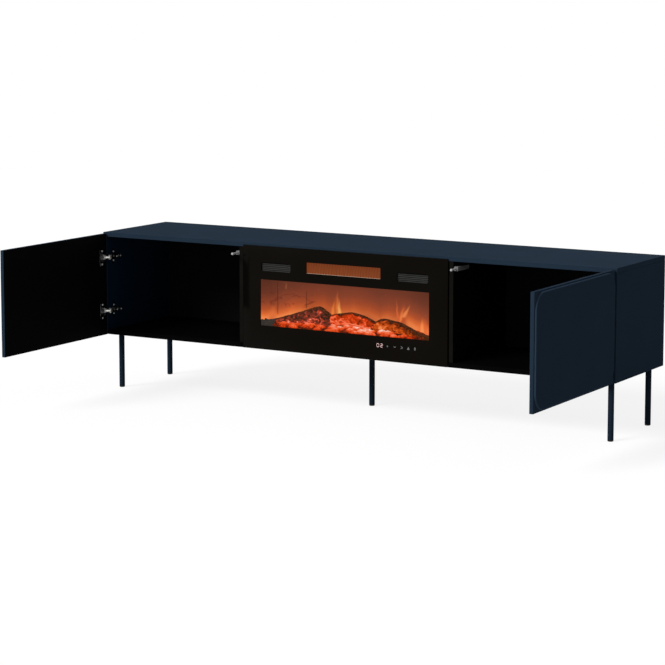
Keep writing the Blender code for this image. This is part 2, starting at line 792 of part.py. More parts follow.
def build_door_sets(navy, steel):
    for side, name in SIDE_NAMES.items():
        door_axis = build_door(side, navy)
        outer_axis = pivot(name + "_outer_link_pivot", (pivot_outer.x, pivot_outer.y, door_middle), side)
        inner_axis = pivot(name + "_inner_link_pivot", (pivot_inner.x, pivot_inner.y, door_middle), side)
        for which, height in zip(("lower", "upper"), hinge_heights):
            build_cup(side, which, height, steel, door_axis)
            build_outer_link(side, which, height, steel, outer_axis)
            build_inner_link(side, which, height, steel, inner_axis)
            build_hinge_arm(side, which, height, steel)


# Push latches

def build_latches(grey, steel):
    for side, name in SIDE_NAMES.items():
        across, long, tall = latch_size
        x = -(bay_half + board + seam + across / 2)
        origin = (x, front, above(latch_height))
        rear_end = latch_setback + long
        housing = piece(name + "_latch_housing",
                        box((-across / 2, latch_setback, -tall / 2), (across / 2, rear_end, tall / 2)),
                        grey, origin, side)
        soften(housing, latch_edge)
        bore_end = plunger_engaged + plunger_travel + latch_setback
        tip_radius, tip_length = plunger_tip
        bore = prism(circle((0, 0), plunger_radius + running_gap, 16), -board, bore_end, "y")
        mouth = prism(circle((0, 0), tip_radius + running_gap, 16), -board,
                      plunger_travel - plunger_reach + tip_length + seam, "y")
        cut(housing, bore, side)
        cut(housing, mouth, side)
        rod = [(0, plunger_engaged), (plunger_radius, plunger_engaged),
               (plunger_radius, -plunger_reach + tip_length), (tip_radius, -plunger_reach + tip_length),
               (tip_radius, -plunger_reach + latch_edge), (tip_radius - latch_edge, -plunger_reach),
               (0, -plunger_reach)]
        piece(name + "_latch_plunger", turned(rod, 16, "y"), steel, origin, side, smooth_angle=40)


# Fireplace

def slot(middle, height, size, low, high, corner):
    """A rounded slot through the front, at a distance from the middle and a height."""
    return prism(rounded_rectangle((middle, above(height)), size, corner, 3), low, high, "y")


def build_glass(glass):
    half = glass_width / 2
    face = front - seam - glass_thickness
    panel = piece("fireplace_glass",
                  box((-half, face, above(glass_lift)),
                      (half, front - seam, above(glass_lift + glass_height))),
                  glass)
    soften(panel, glass_edge)
    near = face - glass_thickness
    far = front + glass_thickness
    cut(panel, slot(0, outlet_height, outlet_slot, near, far, outlet_corner))
    for side in SIDE_NAMES:
        cut(panel, slot(side * vent_from_middle, vent_height, vent_slot, near, far, vent_corner))


def build_housing(steel):
    """A box of sheet steel with an open front, two shelves, and brackets for the two shafts."""
    half = housing_width / 2
    low = bottom_topside + seam
    high = top_underside - housing_top_gap
    back = behind(housing_depth)
    housing = piece("fireplace_housing", box((-half, front, low), (half, back, high)), steel)
    rooms = ((low + sheet, above(fire_shelf)),
             (above(fire_shelf) + sheet, above(heater_shelf)),
             (above(heater_shelf) + sheet, high - sheet))
    for floor, ceiling in rooms:
        cut(housing, box((-half + sheet, front - sheet, floor), (half - sheet, back - sheet, ceiling)))
    for direction in (-1, 1):
        near = direction * spindle_bracket
        bracket = box((near, behind(spindle_behind) - spindle_bracket_half, above(fire_shelf)),
                      (near + direction * bracket_thickness, behind(spindle_behind) + spindle_bracket_half,
                       above(spindle_height) + spindle_bracket_half))
        weld(housing, bracket)
        near = direction * blower_bracket
        bracket = box((near, behind(blower_behind) - blower_bracket_half, above(heater_shelf)),
                      (near + direction * bracket_thickness, behind(blower_behind) + blower_bracket_half,
                       above(blower_height) + blower_bracket_over))
        weld(housing, bracket)
    bores = ((spindle_bracket, spindle_radius, spindle_behind, spindle_height),
             (blower_bracket, blower_shaft, blower_behind, blower_height))
    for distance, radius, set_back, height in bores:
        for direction in (-1, 1):
            ends = sorted((direction * (distance - sheet), direction * (distance + 2 * bracket_thickness)))
            rim = circle((behind(set_back), above(height)), radius + running_gap, 12)
            cut(housing, prism(rim, *ends, "x"))
    gland_hole = prism(circle((gland_from_middle, above(gland_height)), gland_radius + running_gap, 16),
                       back - 2 * sheet, back + 2 * sheet, "y")
    cut(housing, gland_hole)


def build_log_set(resin):
    """A bed of embers with three charred logs on it, cast in one piece."""
    near, far = (behind(distance) for distance in log_bed_depth)
    columns, rows = log_bed_cells
    bed = bmesh.new()

    def bed_place(i, j, height):
        return (log_bed_half * (2 * i / columns - 1), near + (far - near) * j / rows, fire_floor + height)

    top = []
    foot = []
    for i in range(columns + 1):
        top.append([])
        foot.append([])
        for j in range(rows + 1):
            slope = log_bed_heights[0] + (log_bed_heights[1] - log_bed_heights[0]) * j / rows
            swell = log_bed_swell * math.sin(2.3 * i) * math.cos(1.7 * j)
            top[i].append(bed.verts.new(bed_place(i, j, slope + swell)))
            foot[i].append(bed.verts.new(bed_place(i, j, 0)))
    for level in (top, foot):
        for i in range(columns):
            for j in range(rows):
                bed.faces.new((level[i][j], level[i + 1][j], level[i + 1][j + 1], level[i][j + 1]))
    rim = [(i, 0) for i in range(columns)] + [(columns, j) for j in range(rows)]
    rim += [(columns - i, rows - j) for i, j in rim]
    for (i, j), (k, l) in zip(rim, rim[1:] + rim[:1]):
        bed.faces.new((foot[i][j], foot[k][l], top[k][l], top[i][j]))
    bmesh.ops.recalc_face_normals(bed, faces=bed.faces)
    logs = piece("log_set", bed, resin, smooth_angle=40)
    for stations in (left_log, middle_log, right_log):
        weld(logs, log(stations, (near + far) / 2))


def log(stations, y):
    """A bent log through its stations, each a place along the front, a height and a radius."""
    shape = bmesh.new()
    rings = []
    for x, height, radius in stations:
        ring = []
        for depth, rise in circle((0, 0), radius, log_sides):
            ring.append(shape.verts.new((x, y + log_depth_share * depth, above(height) + rise)))
        rings.append(ring)
    shape.faces.new(rings[0])
    shape.faces.new(rings[-1])
    for ring, following in zip(rings, rings[1:]):
        for i in range(log_sides):
            j = (i + 1) % log_sides
            shape.faces.new((ring[i], ring[j], following[j], following[i]))
    bmesh.ops.recalc_face_normals(shape, faces=shape.faces)
    return shape


def spread(half, count, index):
    """A place in an evenly spaced row from -half to half."""
    return half * (2 * index / (count - 1) - 1)


def build_fire(acrylic, steel, plastic, board_green):
    """The screen on which the flames dance, and behind it the turning reflectors and their lamps."""
    screen_half = housing_width / 2 - screen_end
    piece("flame_screen",
          box((-screen_half, behind(screen_behind), fire_floor),
              (screen_half, behind(screen_behind) + screen_thickness, above(heater_shelf) - screen_top_gap)),
          acrylic)

    centre = (0, behind(spindle_behind), above(spindle_height))
    half = spindle_length / 2
    spindle = piece("flame_spindle", prism(circle((0, 0), spindle_radius, 12), -half, half, "x"),
                    steel, centre, smooth_angle=40)
    for i in range(reflector_count):
        flag = box((-reflector_width / 2, -reflector_reach, -reflector_thickness / 2),
                   (reflector_width / 2, reflector_reach, reflector_thickness / 2))
        x = spread(half - reflector_end, reflector_count, i)
        turn = Matrix.Translation((x, 0, 0)) @ Matrix.Rotation(reflector_turn * i, 4, "X")
        bmesh.ops.transform(flag, matrix=turn, verts=flag.verts)
        weld(spindle, flag)

    motor = [(0, 0), (spindle_motor_radius, 0), (spindle_motor_radius, spindle_motor_depth),
             (0, spindle_motor_depth)]
    body = piece("spindle_motor", turned(motor, 24, "x"), plastic,
                 (spindle_bracket + bracket_thickness + seam, centre[1], centre[2]), smooth_angle=40)
    shaft_hole = circle((0, 0), spindle_radius + running_gap, 12)
    cut(body, prism(shaft_hole, -spindle_motor_depth, spindle_past_bracket, "x"))

    long = light_board_length / 2
    lights = piece("light_board",
                   box((-long, centre[1] - light_board_width / 2, fire_floor),
                       (long, centre[1] + light_board_width / 2, fire_floor + light_board_thickness)),
                   board_green)
    for i in range(light_count):
        x = spread(long - light_board_width / 2, light_count, i)
        lamp = box((x - light_size / 2, centre[1] - light_size / 2, fire_floor + light_board_thickness / 2),
                   (x + light_size / 2, centre[1] + light_size / 2,
                    fire_floor + light_board_thickness + light_height))
        weld(lights, lamp)


def build_heater(steel, plastic, ceramic):
    """A cross-flow blower behind a heating element with upright channels."""
    centre = (0, behind(blower_behind), above(blower_height))
    half = blower_length / 2
    shaft_end = half + blower_shaft_past
    wheel = piece("blower_wheel", prism(circle((0, 0), blower_shaft, 12), -shaft_end, shaft_end, "x"),
                  plastic, centre, smooth_angle=40)
    for x in (-half, -blower_disc / 2, half - blower_disc):
        weld(wheel, prism(circle((0, 0), blower_radius, 18), x, x + blower_disc, "x"))
    outer = blower_radius - blade_rim
    hinge_line = outer - blade_width / 2
    lean = (Matrix.Translation((0, hinge_line, 0)) @ Matrix.Rotation(blade_lean, 4, "X")
            @ Matrix.Translation((0, -hinge_line, 0)))
    for i in range(blower_blades):
        blade = box((-half + blower_disc / 2, outer - blade_width, -blade_thickness / 2),
                    (half - blower_disc / 2, outer, blade_thickness / 2))
        spin = Matrix.Rotation(2 * math.pi * i / blower_blades, 4, "X")
        bmesh.ops.transform(blade, matrix=spin @ lean, verts=blade.verts)
        weld(wheel, blade)

    face = blower_bracket + bracket_thickness + seam
    motor_shape = [(0, 0), (blower_motor_radius, 0), (blower_motor_radius, blower_motor_length),
                   (0, blower_motor_length)]
    motor = piece("blower_motor", turned(motor_shape, 24, "x"), steel, (face, centre[1], centre[2]),
                  smooth_angle=40)
    weld(motor, box((motor_foot_inset, -motor_foot_half, heater_floor - centre[2]),
                    (blower_motor_length - motor_foot_inset, motor_foot_half, -blower_motor_radius / 2)))
    bore = circle((0, 0), blower_shaft + running_gap, 12)
    cut(motor, prism(bore, -board, blower_shaft_past - blower_to_bracket, "x"))

    long = element_length / 2
    near = behind(element_behind)
    element = piece("heating_element",
                    box((-long, near, heater_floor),
                        (long, near + element_depth, heater_floor + element_height)),
                    ceramic)
    for i in range(element_channels):
        x = spread(long - channel_width, element_channels, i)
        channel = box((x - channel_width / 2, near - channel_depth, heater_floor + channel_from_foot),
                      (x + channel_width / 2, near + channel_depth,
                       heater_floor + element_height - channel_from_head))
        cut(element, channel)


def build_grilles(plastic):
    """Mouldings behind the glass: upright bars before the heater, louvres at the two air vents."""
    size = (outlet_slot[0] + 2 * grille_rim, outlet_slot[1] + 2 * grille_rim)
    frame = rounded_rectangle((0, above(outlet_height)), size, grille_corner, 2)
    outlet = piece("outlet_grille", prism(frame, front, behind(grille_depth), "y"), plastic)
    opening = (outlet_slot[0] + 2 * grille_lip, outlet_slot[1] + 2 * grille_lip)
    cut(outlet, slot(0, outlet_height, opening, front - board, behind(grille_recess), grille_lip))
    gap = (opening[0] - (outlet_bars + 1) * bar_thickness) / outlet_bars
    for i in range(outlet_bars):
        x = -opening[0] / 2 + bar_thickness + i * (gap + bar_thickness)
        low = above(outlet_height) - opening[1] / 2
        cut(outlet, box((x, front, low), (x + gap, behind(2 * grille_depth), low + opening[1])))
    for side, name in SIDE_NAMES.items():
        middle = -vent_from_middle
        size = (vent_slot[0] + 2 * grille_rim, vent_slot[1] + 2 * grille_rim)
        frame = rounded_rectangle((middle, above(vent_height)), size, grille_corner, 2)
        moulding = prism(frame, front, behind(grille_depth), "y")
        vent = piece(name + "_vent_grille", moulding, plastic, side=side)
        pitch = vent_slot[1] / vent_louvres
        for i in range(vent_louvres):
            low = above(vent_height) - vent_slot[1] / 2 + i * pitch + bar_thickness / 2
            slit = [(y, level + louvre_slope * (y - front))
                    for y, level in ((behind(-grille_depth), low),
                                     (behind(2 * grille_depth), low),
                                     (behind(2 * grille_depth), low + pitch - bar_thickness),
                                     (behind(-grille_depth), low + pitch - bar_thickness))]
            cut(vent, prism(slit, middle - vent_slot[0] / 2, middle + vent_slot[0] / 2, "x"), side)


def build_controls(board_green, plastic):
    """A board with its display and five touch springs that meet the glass from behind."""
    wide, thick, tall = control_board_size
    display_wide, display_deep, display_tall = display_size
    x, height = control_board_centre
    z = above(height)
    board_face = behind(display_deep)
    controls = piece("control_board",
                     box((x - wide / 2, board_face, z - tall / 2),
                         (x + wide / 2, board_face + thick, z + tall / 2)),
                     board_green, smooth_angle=40)
    weld(controls, box((display_from_middle - display_wide / 2, front, z - display_tall / 2),
                       (display_from_middle + display_wide / 2, board_face + thick / 2,
                        z + display_tall / 2)))
    for i in range(touch_key_count):
        centre = (touch_key_first + i * touch_key_pitch, z)
        weld(controls, prism(circle(centre, touch_spring_radius, 12), front, board_face + thick / 2, "y"))

    back = behind(housing_depth)
    inside = back - gland_inside
    outside = back + gland_outside
    profile = [(0, inside), (gland_radius, inside), (gland_radius, back + seam), (gland_flange, back + seam),
               (gland_flange, back + gland_flange_thickness), (gland_radius, outside), (0, outside)]
    gland = piece("cord_gland", turned(profile, 20, "y"), plastic,
                  (gland_from_middle, 0, above(gland_height)), smooth_angle=40)
    cut(gland, prism(circle((0, 0), gland_bore, 12), inside - board, outside + board, "y"))


def build():
    for old in list(bpy.data.objects):
        bpy.data.objects.remove(old, do_unlink=True)
    navy = material("navy lacquer", (0.012, 0.022, 0.036), 0.45)
    black = material("black melamine", (0.008, 0.008, 0.009), 0.5)
    leg_blue = material("navy powder coat", (0.014, 0.024, 0.038), 0.4, 0.2)
    steel = material("nickel-plated steel", (0.62, 0.62, 0.60), 0.28, 1.0)
    dull_steel = material("black steel sheet", (0.02, 0.02, 0.02), 0.5, 0.6)
    plastic = material("black plastic", (0.02, 0.02, 0.02), 0.5)
    grey = material("grey plastic", (0.35, 0.35, 0.36), 0.4)
    glass = material("black glass", (0.008, 0.006, 0.005), 0.08)
    acrylic = material("flame screen acrylic", (0.55, 0.25, 0.12), 0.4)
    resin = material("cast embers", (0.10, 0.03, 0.015), 0.8)
    ceramic = material("heater ceramic", (0.45, 0.20, 0.08), 0.7)
    board_green = material("circuit board", (0.02, 0.09, 0.04), 0.5)
    build_carcass(navy, black)
    build_legs(leg_blue, plastic)
    build_door_sets(navy, steel)
    build_latches(grey, steel)
    build_glass(glass)
    build_housing(dull_steel)
    build_log_set(resin)
    build_fire(acrylic, steel, plastic, board_green)
    build_heater(steel, plastic, ceramic)
    build_grilles(plastic)
    build_controls(board_green, plastic)
    named = {"outer link pivot": pivot_outer, "door pin": pin_outer, "inner link pivot": pivot_inner}
    for name, point in named.items():
        print(name, [round(value, 6) for value in point])
    print("outer link turns", round(math.degrees(link_turn), 4), "inner link turns",
          round(math.degrees(inner_turn), 4), "play", round(open_play / mm, 3))


build()
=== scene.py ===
"""The looks of a low TV cabinet with an electric fireplace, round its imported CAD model.

Lengths are in metres, in the frame's own axes: +X to the right, +Y to the back, +Z up, seen by
someone in front of the cabinet. Its front and the floor under it come from the frame's boxes.
"""

import math

import bmesh
import bpy
from mathutils import Matrix, Vector, noise


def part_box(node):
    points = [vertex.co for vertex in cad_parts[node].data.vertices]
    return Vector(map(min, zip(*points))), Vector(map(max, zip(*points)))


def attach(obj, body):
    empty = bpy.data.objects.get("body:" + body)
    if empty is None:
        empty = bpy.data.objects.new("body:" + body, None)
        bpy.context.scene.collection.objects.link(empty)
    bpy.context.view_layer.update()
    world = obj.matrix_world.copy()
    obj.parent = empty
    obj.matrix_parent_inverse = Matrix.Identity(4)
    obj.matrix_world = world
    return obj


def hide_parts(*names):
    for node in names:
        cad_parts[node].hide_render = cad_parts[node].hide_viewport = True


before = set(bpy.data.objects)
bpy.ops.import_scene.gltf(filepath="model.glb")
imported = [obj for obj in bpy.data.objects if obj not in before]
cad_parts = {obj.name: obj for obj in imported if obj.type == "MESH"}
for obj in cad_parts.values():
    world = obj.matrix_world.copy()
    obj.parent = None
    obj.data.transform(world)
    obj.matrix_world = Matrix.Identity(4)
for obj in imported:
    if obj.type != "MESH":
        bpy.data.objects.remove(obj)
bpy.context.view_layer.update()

scene = bpy.context.scene
mm = 0.001
LEFT = -1
RIGHT = 1
SIDE_NAMES = {LEFT: "left", RIGHT: "right"}
HINGES = {side: [name + "_" + which for which in ("lower", "upper")]
          for side, name in SIDE_NAMES.items()}


def seen(red, green, blue):
    """A linear colour from the one that a screen shows, 0 to 255."""
    def linear(value):
        share = value / 255
        return share / 12.92 if share <= 0.04045 else ((share + 0.055) / 1.055) ** 2.4
    return tuple(linear(value) for value in (red, green, blue))


def scaled(colour, factor):
    return tuple(value * factor for value in colour)


def shown(stops):
    """Stops of a ramp, from places and colours as a screen shows them."""
    return [(place, seen(*colour)) for place, colour in stops]


# Camera
camera_lens = 125.167
camera_shift = (0.0147, -0.1)
camera_place = (3.8924, -6.9061, 1.5111)
camera_turn = math.radians(30.646)
camera_dip = math.radians(7.340)

# Light
sun_from = (-0.34, -0.72, 0.60)
sun_strength = 3.1
sun_width = math.radians(25)
room_light = 0.35
floor_side = 14.0
floor_thickness = 0.02
floor_grey = 0.5
floor_seen_grey = 0.18
floor_seen_glow = 0.84

# Doors
door_slab = 13 * mm
field_inset = 4 * mm
field_corner = 55 * mm
field_corner_steps = 24
field_rounding = 4.6 * mm
field_rounding_steps = 6
rim_painted_highlight = 1.9  # painted highlight: the field's rounded rim is painted this much lighter than its face, for the light it catches
rim_lean = 0.95  # a rim's face looks less straight out than this
slab_rounding = 0.8 * mm
cup_hole_clearance = 0.3 * mm
cup_depth = 11.5 * mm
cup_radius = 17.5 * mm

# Sides of a round piece, and of a small one
round_steps = 48
small_steps = 24

# Gap between pieces that touch, how near two points count as one, and how straight a face
# has to look one way
seam = 0.3 * mm
touch = 0.01 * mm
facing = 0.9

# Legs
leg_radius = 10 * mm
leg_wall = 1.5 * mm
leg_stud_radius = 4 * mm
leg_edge = 0.4 * mm
glide_rounding = 3 * mm
glide_groove = 0.4 * mm

# Glass front: heights are above the carcass's underside
window_half = 330 * mm
window_low = 84 * mm
window_high = 245 * mm
window_corner = 1 * mm
outlet_corner = 2 * mm
vent_corner = 5 * mm
slot_corner_steps = 5
grille_rim = 5 * mm
# Painted light: how high up the outlet slot's lower lip it shines
lip_painted_light_height = 1 * mm
glass_edge = 0.5 * mm
glass_cut_past = 2 * mm  # how far a slot's cutter reaches past the glass
print_proud = 0.02 * mm
pane_gap = 0.05 * mm

# Heater and its ears
heater_low = 262 * mm
heater_high = 318 * mm
heater_tones = ((0.25, (134, 68, 34)), (0.6, (124, 61, 30)), (1.0, (112, 55, 28)))
ear_gap = 0.3 * mm
ear_width = 28 * mm
ear_sheet = 1.2 * mm
ear_fold = 8 * mm
ear_hole = 2.2 * mm
ear_hole_up = -24 * mm  # from the heater's middle height: low, behind the outlet's foot

# Display and touch marks
digits_first = 132 * mm
digits_low = 47.6 * mm
digit_size = (8.2 * mm, 10.8 * mm)
digit_gap = 6.0 * mm
digit_stroke = 1.9 * mm
digit_joint = 0.325  # of a stroke's width, left free at each of its ends
marks_at = (173 * mm, 201 * mm, 228 * mm, 253 * mm, 278 * mm)
marks_height = 52 * mm
mark_radius = 4.2 * mm
mark_stroke = 1.8 * mm
mark_dot = 0.4  # the dot, triangle and twin rings as shares of the marks' radius
mark_triangle = 1.2
mark_twin = 0.45
half_ring_steps = 14

# A figure's strokes from corner to corner, in widths and half heights from its lower left
digit_strokes = {"top": ((0, 2), (1, 2)), "upper right": ((1, 2), (1, 1)),
                 "lower right": ((1, 1), (1, 0)), "foot": ((0, 0), (1, 0)),
                 "lower left": ((0, 0), (0, 1)), "upper left": ((0, 1), (0, 2)),
                 "middle": ((0, 1), (1, 1))}

# Logs: stations along the front in millimetres, each with its height above the carcass's
# underside and its radius
left_log = ((-345, 86, 8), (-288, 95, 13), (-232, 108, 17), (-175, 121, 23), (-117, 130, 32),
            (-84, 121, 27), (-62, 115, 17))
middle_log = ((-97, 110, 12), (-60, 121, 18), (-22, 125, 21), (5, 128, 23), (40, 125, 23),
              (78, 118, 20), (118, 107, 13))
right_log = ((88, 97, 13), (115, 113, 18), (138, 118, 21), (172, 115, 21), (217, 108, 19),
             (256, 96, 14), (284, 89, 11), (338, 84, 8))
log_rings = 120
log_sides = 44
log_depth_share = 0.8
log_half_depth = 17 * mm  # no log is deeper than this to each side
log_end_rounding = 9 * mm
log_end_share = 0.05  # how much of its section a log's broken end keeps
bark_depth = 2.4 * mm
bark_wave = 60 * mm
bark_turn = 2.4  # how far apart a log's two sides lie in the bark's noise
bark_inwards = 0.6  # the bark only cuts into the log, by up to twice this share of its depth
bark_crack = 1.6 * mm
crack_wave = 9 * mm
crack_turn = 1.3
crack_share = 0.16  # of the cracks' noise: what lies under it is a crack
slim_log = 12 * mm  # under this radius the bark is shallower
log_cooling = 0.8
log_rim_wave = 0.3  # how unevenly the cool rim along a log's top begins
log_rim_length = 11 * mm
ridge_cooling = 0.15
height_cooling = 0.12
dark_end_from = 212 * mm  # along the front: past it the right log is burnt out
dark_end_length = 60 * mm
dark_end_cooling = 0.48

# Ember bed
bed_grid = (260, 22)
bed_left_columns = 4  # over which the bed rises from its left end
bed_right_columns = 30
bed_front = 16 * mm
bed_back = 26 * mm
bed_wave = (70 * mm, 5 * mm)
bed_grain = (4 * mm, 0.6 * mm)
coal_size = (30 * mm, 17 * mm)
coal_height = 12 * mm
coal_steepness = 1.4
coal_glow_power = 0.7
bed_heat = 0.12
bed_lump_heat = 0.9
# How hot the bed is at places along the front, in millimetres
bed_places = ((-330, 0.0), (-285, 0.1), (-262, 0.62), (-200, 0.7), (-120, 0.66), (-40, 0.82),
              (40, 0.94), (110, 1.0), (190, 0.88), (250, 0.52), (285, 0.12), (330, 0.05))

# Glow on the screen behind the logs
glow_rise = 150 * mm  # from the logs' tops to where the glow is darkest
glow_drift = 34 * mm  # how unevenly it rises
skyline_steps = 24
hot_tones = ((0.0, (252, 140, 76)), (0.08, (232, 112, 54)), (0.2, (188, 85, 45)),
             (0.36, (152, 72, 45)), (0.6, (120, 60, 42)), (1.0, (98, 54, 39)))
mild_tones = ((0.0, (172, 70, 34)), (0.12, (152, 67, 38)), (0.32, (128, 61, 40)),
              (0.6, (114, 57, 40)), (1.0, (102, 54, 38)))
# At places along the front, in millimetres: the share of the hot tones, and what dims the glow
hot_places = ((-330, 1.0), (-250, 0.9), (-160, 0.3), (-100, 0.2), (-30, 0.5), (60, 0.3), (120, 0.5),
              (170, 0.45), (240, 0.85), (330, 1.0))
dim_places = ((-330, 0.74), (-250, 0.84), (-120, 0.95), (0, 1.0), (120, 1.0), (240, 0.84), (330, 0.8))

# Tongues of flame, in millimetres: middle, foot, tip, half width, lean at the tip; then the tone
flames = ((-61, 112, 222, 28, 0, (196, 90, 42)), (-61, 122, 226, 8, 1, (218, 114, 54)),
          (-80, 112, 192, 13, 8, (238, 128, 56)), (-49, 112, 198, 13, -5, (255, 174, 92)),
          (192, 112, 200, 28, 10, (192, 84, 42)), (183, 124, 188, 10, 20, (236, 124, 64)),
          (196, 140, 194, 13, 32, (238, 134, 76)), (181, 124, 212, 7, -13, (216, 100, 54)),
          (276, 80, 156, 38, 0, (238, 110, 54)), (270, 84, 152, 14, 2, (255, 150, 86)),
          (318, 78, 116, 30, 0, (254, 134, 72)), (-322, 84, 156, 30, 4, (228, 116, 62)),
          (-266, 205, 240, 6, 2, (142, 78, 52)))
flame_foot = 8 * mm  # over which a tongue fades in
flame_taper = 0.7  # the power by which a tongue narrows upwards
flame_least = 0.5 * mm  # its half width at the very tip
flame_waver = 20 * mm  # how far it strays to the side

# Seams of the screen, in millimetres (place, foot and tip), and curls of smoke
screen_seams = ((-299, 112, 236), (-182, 140, 212))
seam_half = (2.6 * mm, 0.8 * mm)
seam_fade = 12 * mm
seam_strength = 0.6
seam_tone = (70, 34, 24)
curl_low = 140 * mm
curl_high = 200 * mm
curl_fade = 16 * mm
curl_edge = (-110 * mm, -150 * mm)  # along the front: where the curls begin to show, and show in full
curl_width = 0.03
curl_strength = 0.6
curl_tone = (104, 36, 24)

# Tones of the embers and logs, from cool to hot
char_tone = (50, 26, 14)
char_moss = (106, 56, 30)
charred_below = 0.22  # the heat where the char begins to show, and where it covers all
black_below = -0.02
ash_tone = (60, 54, 50)
ash_edge = (-276 * mm, -296 * mm)  # along the front: where the ash begins, and covers all
ember_tones = ((0.1, (72, 18, 6)), (0.26, (150, 38, 8)), (0.42, (216, 64, 14)), (0.62, (250, 98, 50)),
               (0.78, (255, 140, 104)), (0.92, (255, 212, 194)))
left_log_tones = ((0.2, (60, 32, 24)), (0.42, (106, 48, 32)), (0.58, (146, 52, 32)),
                  (0.74, (216, 70, 44)), (0.9, (250, 150, 126)))
middle_log_tones = ((0.16, (76, 26, 8)), (0.34, (140, 42, 8)), (0.5, (190, 54, 10)),
                    (0.7, (238, 72, 22)), (0.95, (255, 132, 92)))
right_log_tones = ((0.16, (64, 28, 10)), (0.36, (126, 46, 10)), (0.54, (178, 64, 10)),
                   (0.74, (224, 92, 26)), (0.94, (255, 150, 90)))
log_streak = ((-10 * mm, 116 * mm), (92 * mm, 102 * mm))  # a hot split: its ends, along the front and up
streak_half = 2.6 * mm
streak_fade = 8 * mm
streak_heat = 0.5

# Screws and nails
wing_screw_radius = 3.6 * mm
wing_screw_pitch = 48 * mm
wing_screw_back = 8 * mm  # behind the cup's centre, away from the door's edge
cup_rim_past = 0.8 * mm  # of the cup's rim past its body
cup_rim_step = 0.1 * mm  # from the cup's front down to its wings
plate_screw_pitch = 32 * mm
plate_screw_face = 1.5 * mm  # of the plate under its screws
arm_screw_radius = 3.0 * mm
arm_screws_behind = (34 * mm, 58 * mm)  # behind the carcass's front
head_height = 0.55  # of a head's radius; its profile in shares of radius and height
head_profile = ((1, 0), (1, 0.3), (0.85, 0.75), (0.5, 1))
recess_arm = (0.16, 0.62)  # half a recess's width and length, of the head's radius
recess_floor = 0.45
nail_radius = 2 * mm
nail_dome = 0.15 * mm
nail_flat = 0.7
nail_inset = 8 * mm
nail_pitch = 75 * mm

# Places from the frame
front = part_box("top_panel")[0].y
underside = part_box("center_back_panel")[0].z


def above(height):
    """A height above the floor from one above the carcass's underside."""
    return underside + height


def centre_of(bounds):
    return (bounds[0] + bounds[1]) / 2


def face_of(bounds, side):
    """The place along X of a box's face on one side."""
    return bounds[0].x if side == LEFT else bounds[1].x


# Materials

def add_node(tree, kind, output, sources=None, **settings):
    """A node with its inputs set or linked, and one of its outputs."""
    made = tree.nodes.new("ShaderNode" + kind)
    for setting, value in settings.items():
        setattr(made, setting, value)
    for socket, value in (sources or {}).items():
        if isinstance(value, bpy.types.NodeSocket):
            tree.links.new(value, made.inputs[socket])
        else:
            made.inputs[socket].default_value = value
    return made.outputs[output]


class Look:
    """A Principled material that takes its detail from textures in the object's coordinates."""

    def __init__(self, name, colour, roughness, metallic=0.0, specular=0.5, **others):
        self.material = bpy.data.materials.new(name)
        self.material.use_nodes = True
        self.material.diffuse_color = (*colour, 1.0)
        self.tree = self.material.node_tree
        self.shader = self.tree.nodes["Principled BSDF"]
        plain = {"Base Color": (*colour, 1.0), "Roughness": roughness, "Metallic": metallic,
                 "Specular IOR Level": specular}
        for socket, value in {**plain, **others}.items():
            self.shader.inputs[socket].default_value = value
        self.place = self.add("TexCoord", "Object")

    def add(self, kind, output, sources=None, **settings):
        return add_node(self.tree, kind, output, sources, **settings)

    def feed(self, socket, source):
        self.tree.links.new(source, self.shader.inputs[socket])

    def along(self, axis):
        """The point's place along an axis."""
        return self.add("SeparateXYZ", axis, {"Vector": self.place})

    def noise(self, scale, detail=2.0, stretch=None, distortion=0.0, place=None, roughness=0.5):
        place = place or self.place
        if stretch:
            place = self.add("Mapping", "Vector", {"Vector": place, "Scale": stretch})
        return self.add("TexNoise", "Fac", {"Vector": place, "Scale": scale, "Detail": detail,
                                            "Distortion": distortion, "Roughness": roughness})

    def maths(self, operation, first, second=0.0):
        return self.add("Math", 0, {0: first, 1: second}, operation=operation)

    def plus(self, first, second):
        return self.maths("ADD", first, second)

    def minus(self, first, second):
        return self.maths("SUBTRACT", first, second)

    def times(self, first, second):
        return self.maths("MULTIPLY", first, second)

    def off(self, value, middle):
        """How far a value is from a middle one, to either side."""
        return self.maths("ABSOLUTE", self.minus(value, middle))

    def share(self, value, low, high, **settings):
        """0 at low, 1 at high and a straight rise between them."""
        sources = {"Value": value, "From Min": low, "From Max": high}
        return self.add("MapRange", "Result", sources, **settings)

    def between(self, value, low, high):
        """0 at low, 1 at high and a smooth rise between them; high may be the smaller one."""
        return self.share(value, low, high, interpolation_type="SMOOTHSTEP")

    def band(self, value, low, high, fade):
        """1 from low to high, fading to 0 inside both ends."""
        return self.times(self.between(value, low, low + fade), self.between(value, high, high - fade))

    def ramp(self, value, *stops):
        """Colours along a value: each stop is a place and a colour."""
        made = self.tree.nodes.new("ShaderNodeValToRGB")
        points = made.color_ramp.elements
        while len(points) < len(stops):
            points.new(1.0)
        for point, (position, colour) in zip(points, stops):
            point.position = position
            point.color = (*colour, 1.0)
        self.tree.links.new(value, made.inputs[0])
        return made.outputs[0]

    def mix(self, factor, first, second, **settings):
        colours = [value if isinstance(value, bpy.types.NodeSocket) else (*value, 1.0)
                   for value in (first, second)]
        return self.add("Mix", 2, {0: factor, 6: colours[0], 7: colours[1]}, data_type="RGBA",
                        **settings)

    def bump(self, height, strength, distance):
        sources = {"Height": height, "Strength": strength, "Distance": distance}
        self.feed("Normal", self.add("Bump", "Normal", sources))

    def vary(self, dark, light, scale):
        """A soft, cloudy change of colour between two tones."""
        cloud = self.noise(scale, 3.0)
        self.feed("Base Color", self.ramp(cloud, (0.3, dark), (0.7, light)))
        return cloud

    def vary_roughness(self, source, low, high):
        spread = self.add("MapRange", "Result", {"Value": source, "To Min": low, "To Max": high})
        self.feed("Roughness", spread)


